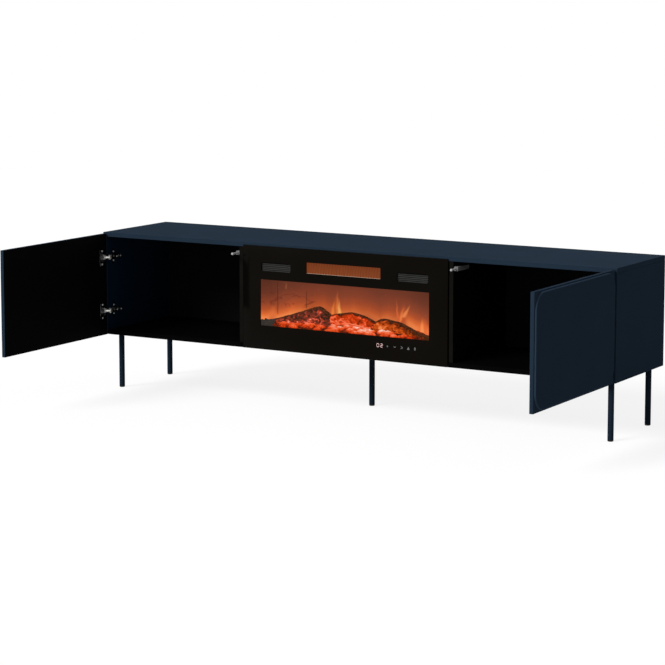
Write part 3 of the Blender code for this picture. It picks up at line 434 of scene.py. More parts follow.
def lacquer(name, colour, specular=0.004):
    """Sprayed matt lacquer on board: faint clouds, and the fine bumps of the spray."""
    look = Look(name, colour, 0.8, specular=specular)
    cloud = look.vary(scaled(colour, 0.94), scaled(colour, 1.06), 5.0)
    look.vary_roughness(cloud, 0.75, 0.85)
    look.bump(look.noise(700, 3.0), 0.12, 0.2 * mm)
    return look.material


def melamine(name, colour):
    """Black melamine with the fine pressed grain of furniture board."""
    look = Look(name, colour, 0.7, specular=0.012)
    look.vary(scaled(colour, 0.8), scaled(colour, 1.2), 9.0)
    look.bump(look.noise(900, 4.0, stretch=(0.25, 1.0, 1.0)), 0.15, 0.15 * mm)
    return look.material


def hardboard(name, colour):
    """Thin painted hardboard with short fibres showing through."""
    look = Look(name, colour, 0.85, specular=0.1)
    fibre = look.noise(500, 5.0, stretch=(0.3, 1.0, 1.0), distortion=0.6)
    look.feed("Base Color", look.ramp(fibre, (0.35, scaled(colour, 0.7)), (0.7, scaled(colour, 1.5))))
    look.bump(fibre, 0.25, 0.15 * mm)
    return look.material


def powder_coat(name, colour, specular=0.01):
    """Powder coat on steel, with its fine pebbled skin."""
    look = Look(name, colour, 0.5, specular=specular)
    look.vary(scaled(colour, 0.93), scaled(colour, 1.08), 14.0)
    look.bump(look.noise(1400), 0.2, 0.12 * mm)
    return look.material


def metal(name, colour, roughness):
    """Plated or rolled metal with fine lines along one way."""
    look = Look(name, colour, roughness, metallic=1.0)
    lines = look.noise(900, 3.0, stretch=(1.0, 1.0, 0.08))
    look.vary_roughness(lines, roughness * 0.75, roughness * 1.3)
    look.vary(scaled(colour, 0.88), colour, 60.0)
    look.bump(lines, 0.06, 0.05 * mm)
    return look.material


def plastic(name, colour, roughness=0.45, specular=0.3):
    """Moulded plastic with a fine spark-eroded skin."""
    look = Look(name, colour, roughness, specular=specular)
    look.vary(scaled(colour, 0.9), scaled(colour, 1.1), 30.0)
    look.bump(look.noise(1600), 0.15, 0.08 * mm)
    return look.material


def printed_glass(name):
    """Glass with black print on its back: smooth, with the faintest uneven sheen."""
    look = Look(name, (0.0022, 0.0020, 0.0016), 0.12, specular=0.042,
                **{"Specular Tint": (1.0, 0.80, 0.62, 1.0)})
    cloud = look.vary((0.0018, 0.0016, 0.0012), (0.0030, 0.0026, 0.0020), 3.0)
    look.vary_roughness(cloud, 0.09, 0.16)
    return look.material


def clear_glass(name):
    look = Look(name, (0.002, 0.002, 0.002), 0.06, specular=0.02, Alpha=0.04)
    look.material.use_backface_culling = False
    return look.material


def shining(name, colour, roughness, specular):
    """A look that gives off light of its own; its emission colour is still to come."""
    return Look(name, colour, roughness, specular=specular, **{"Emission Strength": 1.0})


def glowing(name, char, stops, size, seed, patchy=1.9, streak=None):
    """Charred resin lit from inside: hot and dark mottles, where the mesh's heat says so."""
    look = shining(name, char, 0.9, 0.02)
    heat = look.add("Attribute", "Fac", attribute_name="ember_heat")
    moved = look.add("Mapping", "Vector", {"Vector": look.place, "Location": (seed, seed, seed),
                                           "Scale": (0.8, 1.0, 1.0)})
    mottle = look.noise(1 / size, 4.0, distortion=1.1, place=moved, roughness=0.6)
    grain = look.noise(3 / size, place=moved)
    uneven = look.times(look.minus(mottle, 0.5), patchy)
    value = look.plus(heat, look.plus(uneven, look.times(look.minus(grain, 0.5), 0.5)))
    x = look.along("X")
    if streak:
        (first_x, first_z), (last_x, last_z) = streak
        slope = (last_z - first_z) / (last_x - first_x)
        level = look.plus(look.times(look.minus(x, first_x), slope), above(first_z))
        line = look.between(look.off(look.along("Z"), level), streak_half, 0.3 * streak_half)
        inside = look.band(x, first_x - streak_fade, last_x + streak_fade, 2 * streak_fade)
        value = look.plus(value, look.times(look.times(line, inside), streak_heat))
    glow = look.ramp(value, *shown(stops))
    charred = look.ramp(look.plus(look.times(mottle, 0.6), look.times(grain, 0.4)),
                        (0.4, seen(*char_tone)), (0.62, seen(*char_moss)))
    glow = look.mix(look.between(value, charred_below, black_below), glow, charred)
    ash = look.ramp(grain, (0.3, scaled(seen(*ash_tone), 0.8)), (0.7, seen(*ash_tone)))
    glow = look.mix(look.between(x, *ash_edge), glow, ash)
    look.feed("Emission Color", glow)
    look.feed("Base Color", look.ramp(mottle, (0.35, scaled(char, 0.5)), (0.7, scaled(char, 1.8))))
    look.bump(mottle, 0.6, 1.0 * mm)
    return look.material


def flame(look, x, z, middle, foot, tip, half_width, lean, waver):
    """How strongly one tongue of flame shows at a point: 1 inside it, fading up and outwards."""
    share = look.share(z, foot, tip)
    axis = look.plus(look.plus(look.times(share, lean), middle), look.times(waver, share))
    narrow = look.maths("POWER", look.minus(1.0, share), flame_taper)
    wide = look.plus(look.times(narrow, half_width), flame_least)
    inside = look.between(look.maths("DIVIDE", look.off(x, axis), wide), 1.1, 0.1)
    fade = look.times(look.between(share, 1.0, 0.25), look.between(z, foot, foot + flame_foot))
    return look.times(inside, fade)


def level_at(places, spot):
    """The level at a place along the front, on straight lines between the given places."""
    for (start, low), (end, high) in zip(places, places[1:]):
        if start <= spot <= end:
            return low + (high - low) * (spot - start) / (end - start)
    return places[0][1] if spot < places[0][0] else places[-1][1]


def skyline(place):
    """The logs' top above the carcass's underside at a place along the front, in millimetres."""
    tops = [window_low / mm]
    for stations in (left_log, middle_log, right_log):
        if stations[0][0] <= place <= stations[-1][0]:
            tops.append(level_at([(x, height + radius) for x, height, radius in stations], place))
    return max(tops)


def along_front(look, x, places):
    """A value that changes along the front: each place in millimetres has its own."""
    grey = ((0.5 + place * mm / (2 * window_half), (value, value, value)) for place, value in places)
    return look.ramp(look.share(x, -window_half, window_half), *grey)


def flame_screen_look():
    """The acrylic that carries the light: a warm glow above the logs, and the tongues of flame."""
    look = shining("flame screen", (0.006, 0.003, 0.002), 0.55, 0.02)
    x, z = look.along("X"), look.along("Z")
    places = [-window_half / mm * (1 - 2 * i / skyline_steps) for i in range(skyline_steps + 1)]
    tops = along_front(look, x, [(place, skyline(place) * mm / window_high) for place in places])
    rise = look.minus(look.minus(z, underside), look.times(tops, window_high))
    drift = look.minus(look.noise(11.0, 3.0, stretch=(1.0, 1.0, 0.5)), 0.5)
    share = look.share(look.plus(rise, look.times(drift, glow_drift)), 0.0, glow_rise)
    hot, mild = (look.ramp(share, *shown(tones)) for tones in (hot_tones, mild_tones))
    glow = look.mix(along_front(look, x, hot_places), mild, hot)
    dim = look.mix(share, (1, 1, 1), along_front(look, x, dim_places))
    glow = look.mix(1.0, glow, dim, blend_type="MULTIPLY")
    smoke = look.off(look.noise(16.0, 3.0, stretch=(0.6, 1.0, 1.6), distortion=1.4), 0.5)
    band = look.times(look.band(z, above(curl_low), above(curl_high), curl_fade),
                      look.between(x, *curl_edge))
    curl = look.times(look.times(look.between(smoke, curl_width, 0.0), band), curl_strength)
    glow = look.mix(curl, glow, seen(*curl_tone))
    waver = look.times(look.minus(look.noise(34.0), 0.5), flame_waver)
    for middle, foot, tip, half_width, lean, colour in flames:
        strength = flame(look, x, z, middle * mm, above(foot * mm), above(tip * mm), half_width * mm,
                         lean * mm, waver)
        glow = look.mix(strength, glow, seen(*colour))
    for line, foot, tip in screen_seams:
        tall = look.band(z, above(foot * mm), above(tip * mm), seam_fade)
        shade = look.times(look.between(look.off(x, line * mm), *seam_half), tall)
        glow = look.mix(look.times(shade, seam_strength), glow, seen(*seam_tone))
    look.feed("Emission Color", glow)
    return look.material


def lit(name, colour):
    """Something that shines a little unevenly: the display's digits and marks by themselves, and the
    outlet's bars and lower lip as painted light.
    """
    tone = seen(*colour)
    look = shining(name, scaled(tone, 0.05), 0.5, 0.1)
    look.feed("Emission Color", look.ramp(look.noise(90.0), (0.3, scaled(tone, 0.85)), (0.7, tone)))
    return look.material


def heater_look():
    """A ribbed ceramic element that glows orange through the bars in front of it."""
    look = shining("heater ceramic", (0.02, 0.01, 0.006), 0.8, 0.02)
    level = look.share(look.along("Z"), above(heater_low), above(heater_high))
    tone = look.plus(level, look.times(look.noise(40.0, 3.0), 0.3))
    look.feed("Emission Color", look.ramp(tone, *shown(heater_tones)))
    look.bump(look.noise(500.0, 3.0), 0.3, 0.2 * mm)
    return look.material


navy = (0.0155, 0.0270, 0.0440)
navy_lacquer = lacquer("navy lacquer", navy)
# Painted highlight: a lighter copy of the navy lacquer for the rounded rim of each door's raised field
navy_rim_painted_highlight = lacquer("navy lacquer painted lighter on the rim", scaled(navy, rim_painted_highlight))
# Painted shade: a darker copy of the navy lacquer for the side panels' inner faces, for the shade inside
# the cabinet
navy_painted_shade_inside = lacquer("navy lacquer darkened as painted shade inside", (0.0030, 0.0110, 0.0240), 0.01)
black_melamine = melamine("black melamine", (0.0010, 0.0010, 0.0011))
black_edge = melamine("black edge band", (0.0056, 0.0050, 0.0040))
back_board = hardboard("painted hardboard", (0.0012, 0.0014, 0.0018))
bare_back = hardboard("bare side of the hardboard", (0.0120, 0.0105, 0.0090))
leg_coat = powder_coat("navy powder coat", (0.0100, 0.0170, 0.0290))
nickel = metal("nickel plate", (0.66, 0.65, 0.62), 0.24)
# Painted shade: a darker copy of the nickel for the hinge cups and mounting plates, for the dark they
# reflect
nickel_painted_shade = metal("nickel plate darkened as painted shade", (0.20, 0.20, 0.20), 0.16)
# Painted highlight: a bright copy of the nickel for the hinge cups' front faces
cup_front_painted_highlight = metal("nickel brightened as a painted highlight", (0.75, 0.75, 0.75), 0.45)
zinc = metal("zinc plate", (0.50, 0.51, 0.52), 0.32)
black_steel = powder_coat("black steel sheet", (0.006, 0.006, 0.006), 0.1)
black_plastic = plastic("black plastic", (0.010, 0.010, 0.010), 0.5, 0.15)
grey_plastic = plastic("grey latch plastic", (0.16, 0.16, 0.165))
pale_plastic = plastic("pale plunger plastic", (0.40, 0.40, 0.41))
vent_plastic = plastic("grille plastic", (0.038, 0.038, 0.036), 0.55, 0.05)
circuit_board = plastic("circuit board", (0.012, 0.055, 0.022), 0.4)
glass_print = printed_glass("printed glass")
clear_pane = clear_glass("clear window")
screen_light = flame_screen_look()
hot_ceramic = heater_look()
# Painted glow: the outlet's bars shine orange as if lit by the heater behind them
outlet_bars_painted_glow = lit("outlet bars with painted glow", (122, 60, 30))
# Painted light: the upward faces along the outlet's lower lip shine pale
lip_painted_light = lit("lower lip with painted light", (205, 180, 160))
lit_digits = lit("lit digits", (255, 214, 212))
lit_marks = lit("touch marks", (118, 118, 120))
ember_glow = glowing("embers", (0.004, 0.002, 0.001), ember_tones, 12 * mm, 0.3, 0.8)
left_log_glow = glowing("charred log", (0.006, 0.003, 0.002), left_log_tones, 15 * mm, 1.3)
middle_log_glow = glowing("burning log", (0.006, 0.002, 0.001), middle_log_tones, 18 * mm, 2.9,
                          streak=log_streak)
right_log_glow = glowing("glowing log", (0.006, 0.002, 0.001), right_log_tones, 17 * mm, 4.1)

paints = (
    (navy_lacquer, "top_panel left_side_panel right_side_panel"),
    (black_melamine, "bottom_panel left_divider right_divider"),
    (back_board, "left_back_panel center_back_panel right_back_panel"),
    (grey_plastic, "left_latch_housing right_latch_housing"),
    (pale_plastic, "left_latch_plunger right_latch_plunger"),
    (vent_plastic, "left_vent_grille right_vent_grille"),
    (black_steel, "fireplace_housing"),
    # Painted glow on the outlet's bars
    (outlet_bars_painted_glow, "outlet_grille"),
    (hot_ceramic, "heating_element"),
    (screen_light, "flame_screen"),
    (black_plastic, "cord_gland spindle_motor blower_wheel"),
    (zinc, "flame_spindle blower_motor"),
    (circuit_board, "light_board control_board"),
)
# The cups and mounting plates take the darker nickel, as painted shade
hinge_paints = ((nickel, "outer_link inner_link hinge_arm"), (nickel_painted_shade, "hinge_cup mounting_plate"))


def paint(node, surface):
    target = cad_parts[node]
    target.data.materials.clear()
    target.data.materials.append(surface)


def finish_faces(target, surface, wanted):
    """Another finish on the faces for which wanted(centre, normal) holds."""
    target.data.materials.append(surface)
    for face in target.data.polygons:
        if wanted(face.center, face.normal):
            face.material_index = len(target.data.materials) - 1


def paint_faces(node, surface, towards):
    """Another finish on the faces of a CAD node that look one way."""
    way = Vector(towards)
    finish_faces(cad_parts[node], surface, lambda centre, normal: normal.dot(way) > facing)


for surface, nodes in paints:
    for node in nodes.split():
        paint(node, surface)
for surface, parts in hinge_paints:
    for hinge in HINGES[LEFT] + HINGES[RIGHT]:
        for part in parts.split():
            paint(hinge + "_" + part, surface)
paint_faces("top_panel", black_melamine, (0, 0, -1))
# Painted light on the outlet grille's upward faces
paint_faces("outlet_grille", lip_painted_light, (0, 0, 1))
for node in ("left_back_panel", "center_back_panel", "right_back_panel"):
    paint_faces(node, bare_back, (0, 1, 0))
for side, name in SIDE_NAMES.items():
    paint_faces(name + "_divider", black_edge, (0, -1, 0))
    # Painted shade: the side panel's inner face takes the darker navy
    paint_faces(name + "_side_panel", navy_painted_shade_inside, (-side, 0, 0))
    for hinge in HINGES[side]:
        # Painted highlight: the cup's front faces take the bright nickel
        paint_faces(hinge + "_hinge_cup", cup_front_painted_highlight, (0, -1, 0))


# Mesh helpers

def arc(centre, radius, start, end, steps):
    """Points on an arc, angles in degrees, both ends included."""
    points = []
    for i in range(steps + 1):
        angle = math.radians(start + (end - start) * i / steps)
        points.append((centre[0] + radius * math.cos(angle), centre[1] + radius * math.sin(angle)))
    return points


def rounded_rectangle(centre, size, corner, steps):
    half_a = size[0] / 2 - corner
    half_b = size[1] / 2 - corner
    points = []
    for quarter, (sign_a, sign_b) in enumerate(((1, 1), (-1, 1), (-1, -1), (1, -1))):
        middle = (centre[0] + sign_a * half_a, centre[1] + sign_b * half_b)
        points += arc(middle, corner, 90 * quarter, 90 * quarter + 90, steps)
    return points


def prism(outline, low, high, axis):
    """An outline across an axis, extruded from low to high along it."""
    def at(point, along):
        return {"x": (along, *point), "y": (point[0], along, point[1]), "z": (*point, along)}[axis]
    shape = bmesh.new()
    lower = [shape.verts.new(at(point, low)) for point in outline]
    upper = [shape.verts.new(at(point, high)) for point in outline]
    shape.faces.new(lower)
    shape.faces.new(upper)
    for i, j in zip(range(len(outline)), list(range(1, len(outline))) + [0]):
        shape.faces.new((lower[i], lower[j], upper[j], upper[i]))
    bmesh.ops.recalc_face_normals(shape, faces=shape.faces)
    return shape


def box(low, high):
    return prism([(low[0], low[1]), (high[0], low[1]), (high[0], high[1]), (low[0], high[1])],
                 low[2], high[2], "z")


def turned(profile, steps, axis="z", centre=(0, 0, 0)):
    """A solid of revolution. The profile runs from the axis out and back to it: (radius, along)."""
    shape = bmesh.new()
    rings = []
    for radius, along in profile:
        count = steps if radius > 1e-9 else 1
        rings.append([shape.verts.new((radius * math.cos(2 * math.pi * i / steps),
                                       radius * math.sin(2 * math.pi * i / steps), along))
                      for i in range(count)])
    for ring, following in zip(rings, rings[1:]):
        for i in range(steps):
            j = (i + 1) % steps
            corners = [ring[i % len(ring)], ring[j % len(ring)],
                       following[j % len(following)], following[i % len(following)]]
            shape.faces.new(list(dict.fromkeys(corners)))
    bmesh.ops.recalc_face_normals(shape, faces=shape.faces)
    turn = {"z": Matrix.Identity(4),
            "x": Matrix.Rotation(math.pi / 2, 4, "Y"),
            "y": Matrix.Rotation(-math.pi / 2, 4, "X")}[axis]
    bmesh.ops.transform(shape, matrix=Matrix.Translation(centre) @ turn, verts=shape.verts)
    return shape


def rod(radius, start, end, steps, axis, centre):
    return turned([(0, start), (radius, start), (radius, end), (0, end)], steps, axis, centre)


def smooth(target, angle=30):
    """Smooth shading, but for edges sharper than an angle."""
    target.data.shade_smooth()
    target.data.set_sharp_from_angle(angle=math.radians(angle))


def make(name, shape, surface, smooth_angle=35):
    mesh = bpy.data.meshes.new(name)
    shape.to_mesh(mesh)
    shape.free()
    made = bpy.data.objects.new(name, mesh)
    scene.collection.objects.link(made)
    mesh.materials.append(surface)
    smooth(made, smooth_angle)
    return made


def round_edges(target, amount):
    step = target.modifiers.new("rounded edges", "BEVEL")
    step.width = amount
    step.segments = 2
    step.limit_method = "ANGLE"
    step.angle_limit = math.radians(50)
    settle(target)


def settle(target):
    """Apply a piece's modifiers to its mesh."""
    evaluated = target.evaluated_get(bpy.context.evaluated_depsgraph_get())
    mesh = bpy.data.meshes.new_from_object(evaluated)
    target.modifiers.clear()
    target.data = mesh


def change(target, shape, operation="DIFFERENCE"):
    """Cut a shape out of a piece, or weld it on."""
    guide = make(target.name + "_guide", shape, target.data.materials[0])
    step = target.modifiers.new("change", "BOOLEAN")
    step.operation = operation
    step.solver = "EXACT"
    step.object = guide
    settle(target)
    bpy.data.objects.remove(guide)


def own(piece, body, slot, *nodes):
    """A piece of the cabinet: the body it rides on and the nodes it stands for; slot is not used."""
    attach(piece, body)
    if nodes:
        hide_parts(*nodes)


# Doors

def build_door(side):
    """The board, its raised field with large round corners, and the holes for its hinge cups."""
    name = SIDE_NAMES[side]
    low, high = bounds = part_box(name + "_door")
    inner, outer = abs(face_of(bounds, -side)), abs(face_of(bounds, side))
    slab_face = inner + door_slab
    board = box((-slab_face, low.y, low.z), (-inner, high.y, high.z))
    door = make(name + "_door_board", board, navy_lacquer)
    round_edges(door, slab_rounding)
    middle = centre_of(bounds).yz
    size = (high.y - low.y - 2 * field_inset, high.z - low.z - 2 * field_inset)
    field = prism(rounded_rectangle(middle, size, field_corner, field_corner_steps),
                  -outer, -inner - door_slab / 2, "x")
    rim = [edge for edge in field.edges if all(vertex.co.x < -outer + touch for vertex in edge.verts)]
    bmesh.ops.bevel(field, geom=rim, offset=field_rounding, segments=field_rounding_steps, profile=0.5,
                    affect="EDGES")
    change(door, field, "UNION")
    for hinge in HINGES[side]:
        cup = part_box(hinge + "_hinge_cup")
        level = centre_of(cup).z
        along = cup[1].y - cup_radius - cup_rim_past
        radius = cup_radius + cup_hole_clearance
        floor = -inner - cup_depth - cup_hole_clearance
        change(door, rod(radius, 0, -floor, round_steps, "x", (floor, along, level)))
    if side == RIGHT:
        for vertex in door.data.vertices:
            vertex.co.x = -vertex.co.x
        door.data.flip_normals()
    edge = inner + slab_rounding / 2
    finish_faces(door, black_melamine, lambda centre, normal: abs(centre.x) < edge)
    # Painted highlight: the field's rounded rim, but for its straightest faces, takes the lighter navy
    proud = slab_face + touch
    finish_faces(door, navy_rim_painted_highlight, lambda centre, normal: (
        abs(centre.x) > proud and abs(normal.x) < rim_lean))
    smooth(door)
    own(door, name + "_door", "navy_lacquer", name + "_door")


for side in SIDE_NAMES:
    build_door(side)


# Legs

def build_leg(name):
    low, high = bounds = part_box(name + "_leg")
    x, y = centre_of(bounds).xy
    inner = leg_radius - leg_wall
    top = high.z
    shoulder = underside - seam
    tube = [(0, top), (leg_stud_radius - leg_edge, top), (leg_stud_radius, top - leg_edge),
            (leg_stud_radius, shoulder), (leg_radius - leg_edge, shoulder),
            (leg_radius, shoulder - leg_edge), (leg_radius, low.z + leg_edge),
            (leg_radius - leg_edge, low.z), (inner, low.z),
            (inner, shoulder - leg_wall), (0, shoulder - leg_wall)]
    leg = make(name + "_leg_tube", turned(tube, round_steps, "z", (x, y, 0)), leg_coat, 40)
    own(leg, "cabinet", "leg_paint", name + "_leg")
    foot_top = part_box(name + "_leg_glide")[1].z
    ledge = low.z - seam
    plug = inner - seam
    foot = [(0, foot_top), (plug - glide_groove, foot_top), (plug, foot_top - glide_groove),
            (plug, ledge), (leg_radius - glide_groove, ledge), (leg_radius, ledge - glide_groove)]
    foot += arc((leg_radius - glide_rounding, glide_rounding), glide_rounding, 0, -90, 8)
    foot += [(leg_radius / 2, 0), (leg_radius / 2 - glide_groove, glide_groove), (0, glide_groove)]
    glide = make(name + "_glide", turned(foot, round_steps, "z", (x, y, 0)), black_plastic, 40)
    own(glide, "cabinet", "glide_plastic", name + "_leg_glide")


for name in ("front_left", "front_right", "rear_left", "rear_right", "center"):
    build_leg(name)


# Glass front

def slot_shape(low, high, corner, through, inset=0.0):
    """A rounded opening in the plane (x, z), between two corners or that far inside them."""
    middle = ((low[0] + high[0]) / 2, (low[1] + high[1]) / 2)
    size = (high[0] - low[0] - 2 * inset, high[1] - low[1] - 2 * inset)
    return prism(rounded_rectangle(middle, size, corner, slot_corner_steps), *through, "y")


def build_glass():
    """Black printed glass with its slots, and the clear window in it."""
    low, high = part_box("fireplace_glass")
    border = make("glass_front", box(low, high), glass_print)
    round_edges(border, glass_edge)
    through = (low.y - glass_cut_past, high.y + glass_cut_past)
    window = ((-window_half, above(window_low)), (window_half, above(window_high)))
    change(border, slot_shape(*window, window_corner, through))
    for node, corner in (("outlet_grille", outlet_corner), ("left_vent_grille", vent_corner),
                         ("right_vent_grille", vent_corner)):
        grille = (place.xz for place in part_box(node))
        change(border, slot_shape(*grille, corner, through, grille_rim))
    # Painted light: the glass's upward faces along the outlet slot's lower lip shine pale
    lip_low, lip_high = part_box("outlet_grille")
    lip = lip_low.z + grille_rim + lip_painted_light_height
    finish_faces(border, lip_painted_light, lambda centre, normal: (
        normal.z > facing and lip_low.z < centre.z < lip and lip_low.x < centre.x < lip_high.x))
    smooth(border)
    own(border, "cabinet", "fire_glass", "fireplace_glass")
    shape = slot_shape(*window, window_corner, (low.y, high.y), pane_gap)
    pane = make("glass_window", shape, clear_pane)
    own(pane, "cabinet", "fire_glass", "fireplace_glass")


def build_heater_ears():
    """Sheet ears on the heater's ends, folded back at their far edges, each with a screw hole."""
    low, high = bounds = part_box("heating_element")
    middle = centre_of(bounds)
    for side, name in SIDE_NAMES.items():
        inner = side * (high.x + ear_gap)
        outer = inner + side * ear_width
        fold = outer - side * ear_sheet
        face = middle.y - ear_sheet / 2
        outline = [(inner, face), (outer, face), (outer, face + ear_fold), (fold, face + ear_fold),
                   (fold, face + ear_sheet), (inner, face + ear_sheet)]
        ear = make(name + "_heater_ear", prism(outline, low.z, high.z, "z"), hot_ceramic)
        hole = ((inner + fold) / 2, face, middle.z + ear_hole_up)
        change(ear, rod(ear_hole, -ear_sheet, 2 * ear_sheet, small_steps, "y", hole))
        own(ear, "cabinet", "heater_ceramic")


# Display and touch marks, just proud of the glass

def joined(name, shapes, surface, smooth_angle=35):
    """Several closed shapes as one piece."""
    whole = bmesh.new()
    for shape in shapes:
        mesh = bpy.data.meshes.new("part")
        shape.to_mesh(mesh)
        shape.free()
        whole.from_mesh(mesh)
        bpy.data.meshes.remove(mesh)
    return make(name, whole, surface, smooth_angle)


def stroke(start, end, half_width, depth):
    """A straight stroke with pointed ends, as a display's segments have."""
    start, end = Vector(start), Vector(end)
    along = (end - start).normalized() * half_width
    across = Vector((-along.y, along.x))
    outline = (start, start + along - across, end - along - across, end,
               end - along + across, start + along + across)
    return prism([tuple(point) for point in outline], *depth, "y")


def ring(centre, radius, half_width, depth):
    """A round stroke, as two halves that meet."""
    halves = []
    for start, end in ((0, 180), (180, 360)):
        outline = (arc(centre, radius + half_width, start, end, half_ring_steps)
                   + arc(centre, radius - half_width, end, start, half_ring_steps))
        halves.append(prism(outline, *depth, "y"))
    return halves


def digit(corner, size, lit, depth):
    """One figure of seven strokes; lit names those that shine."""
    shapes = []
    for part in lit:
        start, end = (Vector((corner[0] + across * size[0], corner[1] + up * size[1] / 2))
                      for across, up in digit_strokes[part])
        gap = (end - start).normalized() * digit_joint * digit_stroke
        shapes.append(stroke(start + gap, end - gap, digit_stroke / 2, depth))
    return shapes


def build_display():
    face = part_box("fireplace_glass")[0].y
    depth = (face - print_proud, face + print_proud)
    zero = ("top", "upper right", "lower right", "foot", "lower left", "upper left")
    two = ("top", "upper right", "middle", "lower left", "foot")
    shapes = []
    for x, lit in zip((digits_first, digits_first + digit_size[0] + digit_gap), (zero, two)):
        shapes += digit((x, above(digits_low)), digit_size, lit, depth)
    own(joined("display_digits", shapes, lit_digits), "cabinet", "fire_glass")

    z = above(marks_height)
    half = mark_stroke / 2
    radius = mark_radius
    dot, down, right, up, twin = marks_at
    shapes = ring((dot, z), mark_dot * radius, half, depth)
    for turn in (-radius, radius):
        shapes.append(stroke((down + turn, z + radius / 2), (down, z - radius / 2), half, depth))
        shapes.append(stroke((right - radius, z + turn), (right + radius, z), half, depth))
    wide = mark_triangle * radius
    shapes.append(prism([(up - wide, z - wide), (up + wide, z - wide), (up, z + wide)], *depth, "y"))
    for rise in (-0.5, 0.5):
        shapes += ring((twin, z + rise * radius), mark_twin * radius, half, depth)
    own(joined("touch_marks", shapes, lit_marks), "cabinet", "fire_glass")


# The fire

def rough(point, size, depth, octaves=4):
    """A push along a surface: fractal noise at a size, from about -depth to depth."""
    return depth * noise.fractal(point / size, 1.0, 2.0, octaves)


def log_station(stations, share):
    """The place along the front, height and radius at a share of a log, on a smooth curve."""
    spot = share * (len(stations) - 1)
    first = min(int(spot), len(stations) - 2)
    step = spot - first
    last = len(stations) - 1
    a, b, c, d = (Vector(stations[max(0, min(last, first + k))]) for k in (-1, 0, 1, 2))
    return (2 * b + (c - a) * step + (2 * a - 5 * b + 4 * c - d) * step ** 2
            + (3 * b - a - 3 * c + d) * step ** 3) / 2


def trunk(stations, y, seed, hottest, cool_from):
    """A charred log through its stations, with ridged, cracked bark and broken ends.

    Its heat is highest low on its front and in the cracks, and lowest along its top: above
    cool_from, a share of its section's height.
    """
    shape = bmesh.new()
    heat = shape.verts.layers.float.new("ember_heat")
    length = (stations[-1][0] - stations[0][0]) * mm
    rings = []
    for i in range(log_rings + 1):
        share = i / log_rings
        x, height, radius = log_station(stations, share) * mm
        from_end = min(share, 1 - share) * length
        radius *= min(1.0, math.sqrt(from_end / log_end_rounding + log_end_share))
        rim_from = cool_from + log_rim_wave * noise.noise(Vector((x / log_rim_length, seed, 0.5)))
        burnt = dark_end_cooling * min(1.0, max(0.0, (x - dark_end_from) / dark_end_length))
        loop = []
        for j in range(log_sides):
            angle = 2 * math.pi * j / log_sides
            deep = min(log_depth_share, log_half_depth / radius)
            out = Vector((0, deep * math.cos(angle), math.sin(angle)))
            point = Vector((x, y, above(height))) + out * radius
            spot = Vector((x / bark_wave + seed, bark_turn * math.cos(angle),
                           bark_turn * math.sin(angle)))
            ridge = 1 - 2 * abs(noise.fractal(spot, 0.8, 2.1, 4))
            crack = abs(noise.noise(Vector((x / crack_wave, crack_turn * angle, seed))))
            crack = max(0.0, crack_share - crack) / crack_share
            push = bark_depth * bark_inwards * (ridge - 1) - bark_crack * crack
            vertex = shape.verts.new(point + out * push * min(1.0, radius / slim_log))
            rim = max(0.0, math.sin(angle) - rim_from) / (1 - rim_from)
            vertex[heat] = (hottest - burnt - log_cooling * rim - ridge_cooling * ridge
                            - height_cooling * math.sin(angle))
            loop.append(vertex)
        rings.append(loop)
    for loop, following in zip(rings, rings[1:]):
        for j in range(log_sides):
            k = (j + 1) % log_sides
            shape.faces.new((loop[j], loop[k], following[k], following[j]))
    for loop in (rings[0], rings[-1]):
        tip = shape.verts.new(sum((vertex.co for vertex in loop), Vector()) / log_sides)
        for j in range(log_sides):
            shape.faces.new((loop[j], loop[(j + 1) % log_sides], tip))
    bmesh.ops.recalc_face_normals(shape, faces=shape.faces)
    return shape


def build_bed():
    """A heap of coals: lumps on a ridge, higher towards the back, closed below."""
    low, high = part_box("log_set")
    columns, rows = bed_grid
    shape = bmesh.new()
    heat = shape.verts.layers.float.new("ember_heat")
    top = []
    for i in range(columns + 1):
        line = []
        for j in range(rows + 1):
            x = low.x + (high.x - low.x) * i / columns
            y = low.y + (high.y - low.y) * j / rows
            back = j / rows
            ends = min(1.0, (i + 1) / bed_left_columns, (columns + 1 - i) / bed_right_columns)
            rise = bed_front + (bed_back - bed_front) * math.sin(back * math.pi / 2)
            spot = Vector((x, y, 0))
            distances = noise.voronoi(Vector((x / coal_size[0], y / coal_size[1], 0)))[0]
            lump = coal_height * (1 - min(1.0, distances[0] * coal_steepness) ** 2)
            wave = rough(spot, *bed_wave, 2)
            vertex = shape.verts.new((x, y, low.z + ends * (rise + lump + wave)
                                      + rough(spot, *bed_grain)))
            glow = bed_heat + bed_lump_heat * (lump / coal_height) ** coal_glow_power
            vertex[heat] = level_at(bed_places, x / mm) * glow
            line.append(vertex)
        top.append(line)
    foot = [[shape.verts.new((vertex.co.x, vertex.co.y, low.z)) for vertex in line] for line in top]
    for sheet, turn in ((top, 1), (foot, -1)):
        for i in range(columns):
            for j in range(rows):
                corners = (sheet[i][j], sheet[i + 1][j], sheet[i + 1][j + 1], sheet[i][j + 1])
                shape.faces.new(corners[::turn])
    edge = ([(i, 0) for i in range(columns)] + [(columns, j) for j in range(rows)]
            + [(i, rows) for i in range(columns, 0, -1)] + [(0, j) for j in range(rows, 0, -1)])
    for (i, j), (k, l) in zip(edge, edge[1:] + edge[:1]):
        shape.faces.new((foot[i][j], foot[k][l], top[k][l], top[i][j]))
    bmesh.ops.recalc_face_normals(shape, faces=shape.faces)
    own(make("ember_bed", shape, ember_glow, 60), "cabinet", "ember_resin", "log_set")


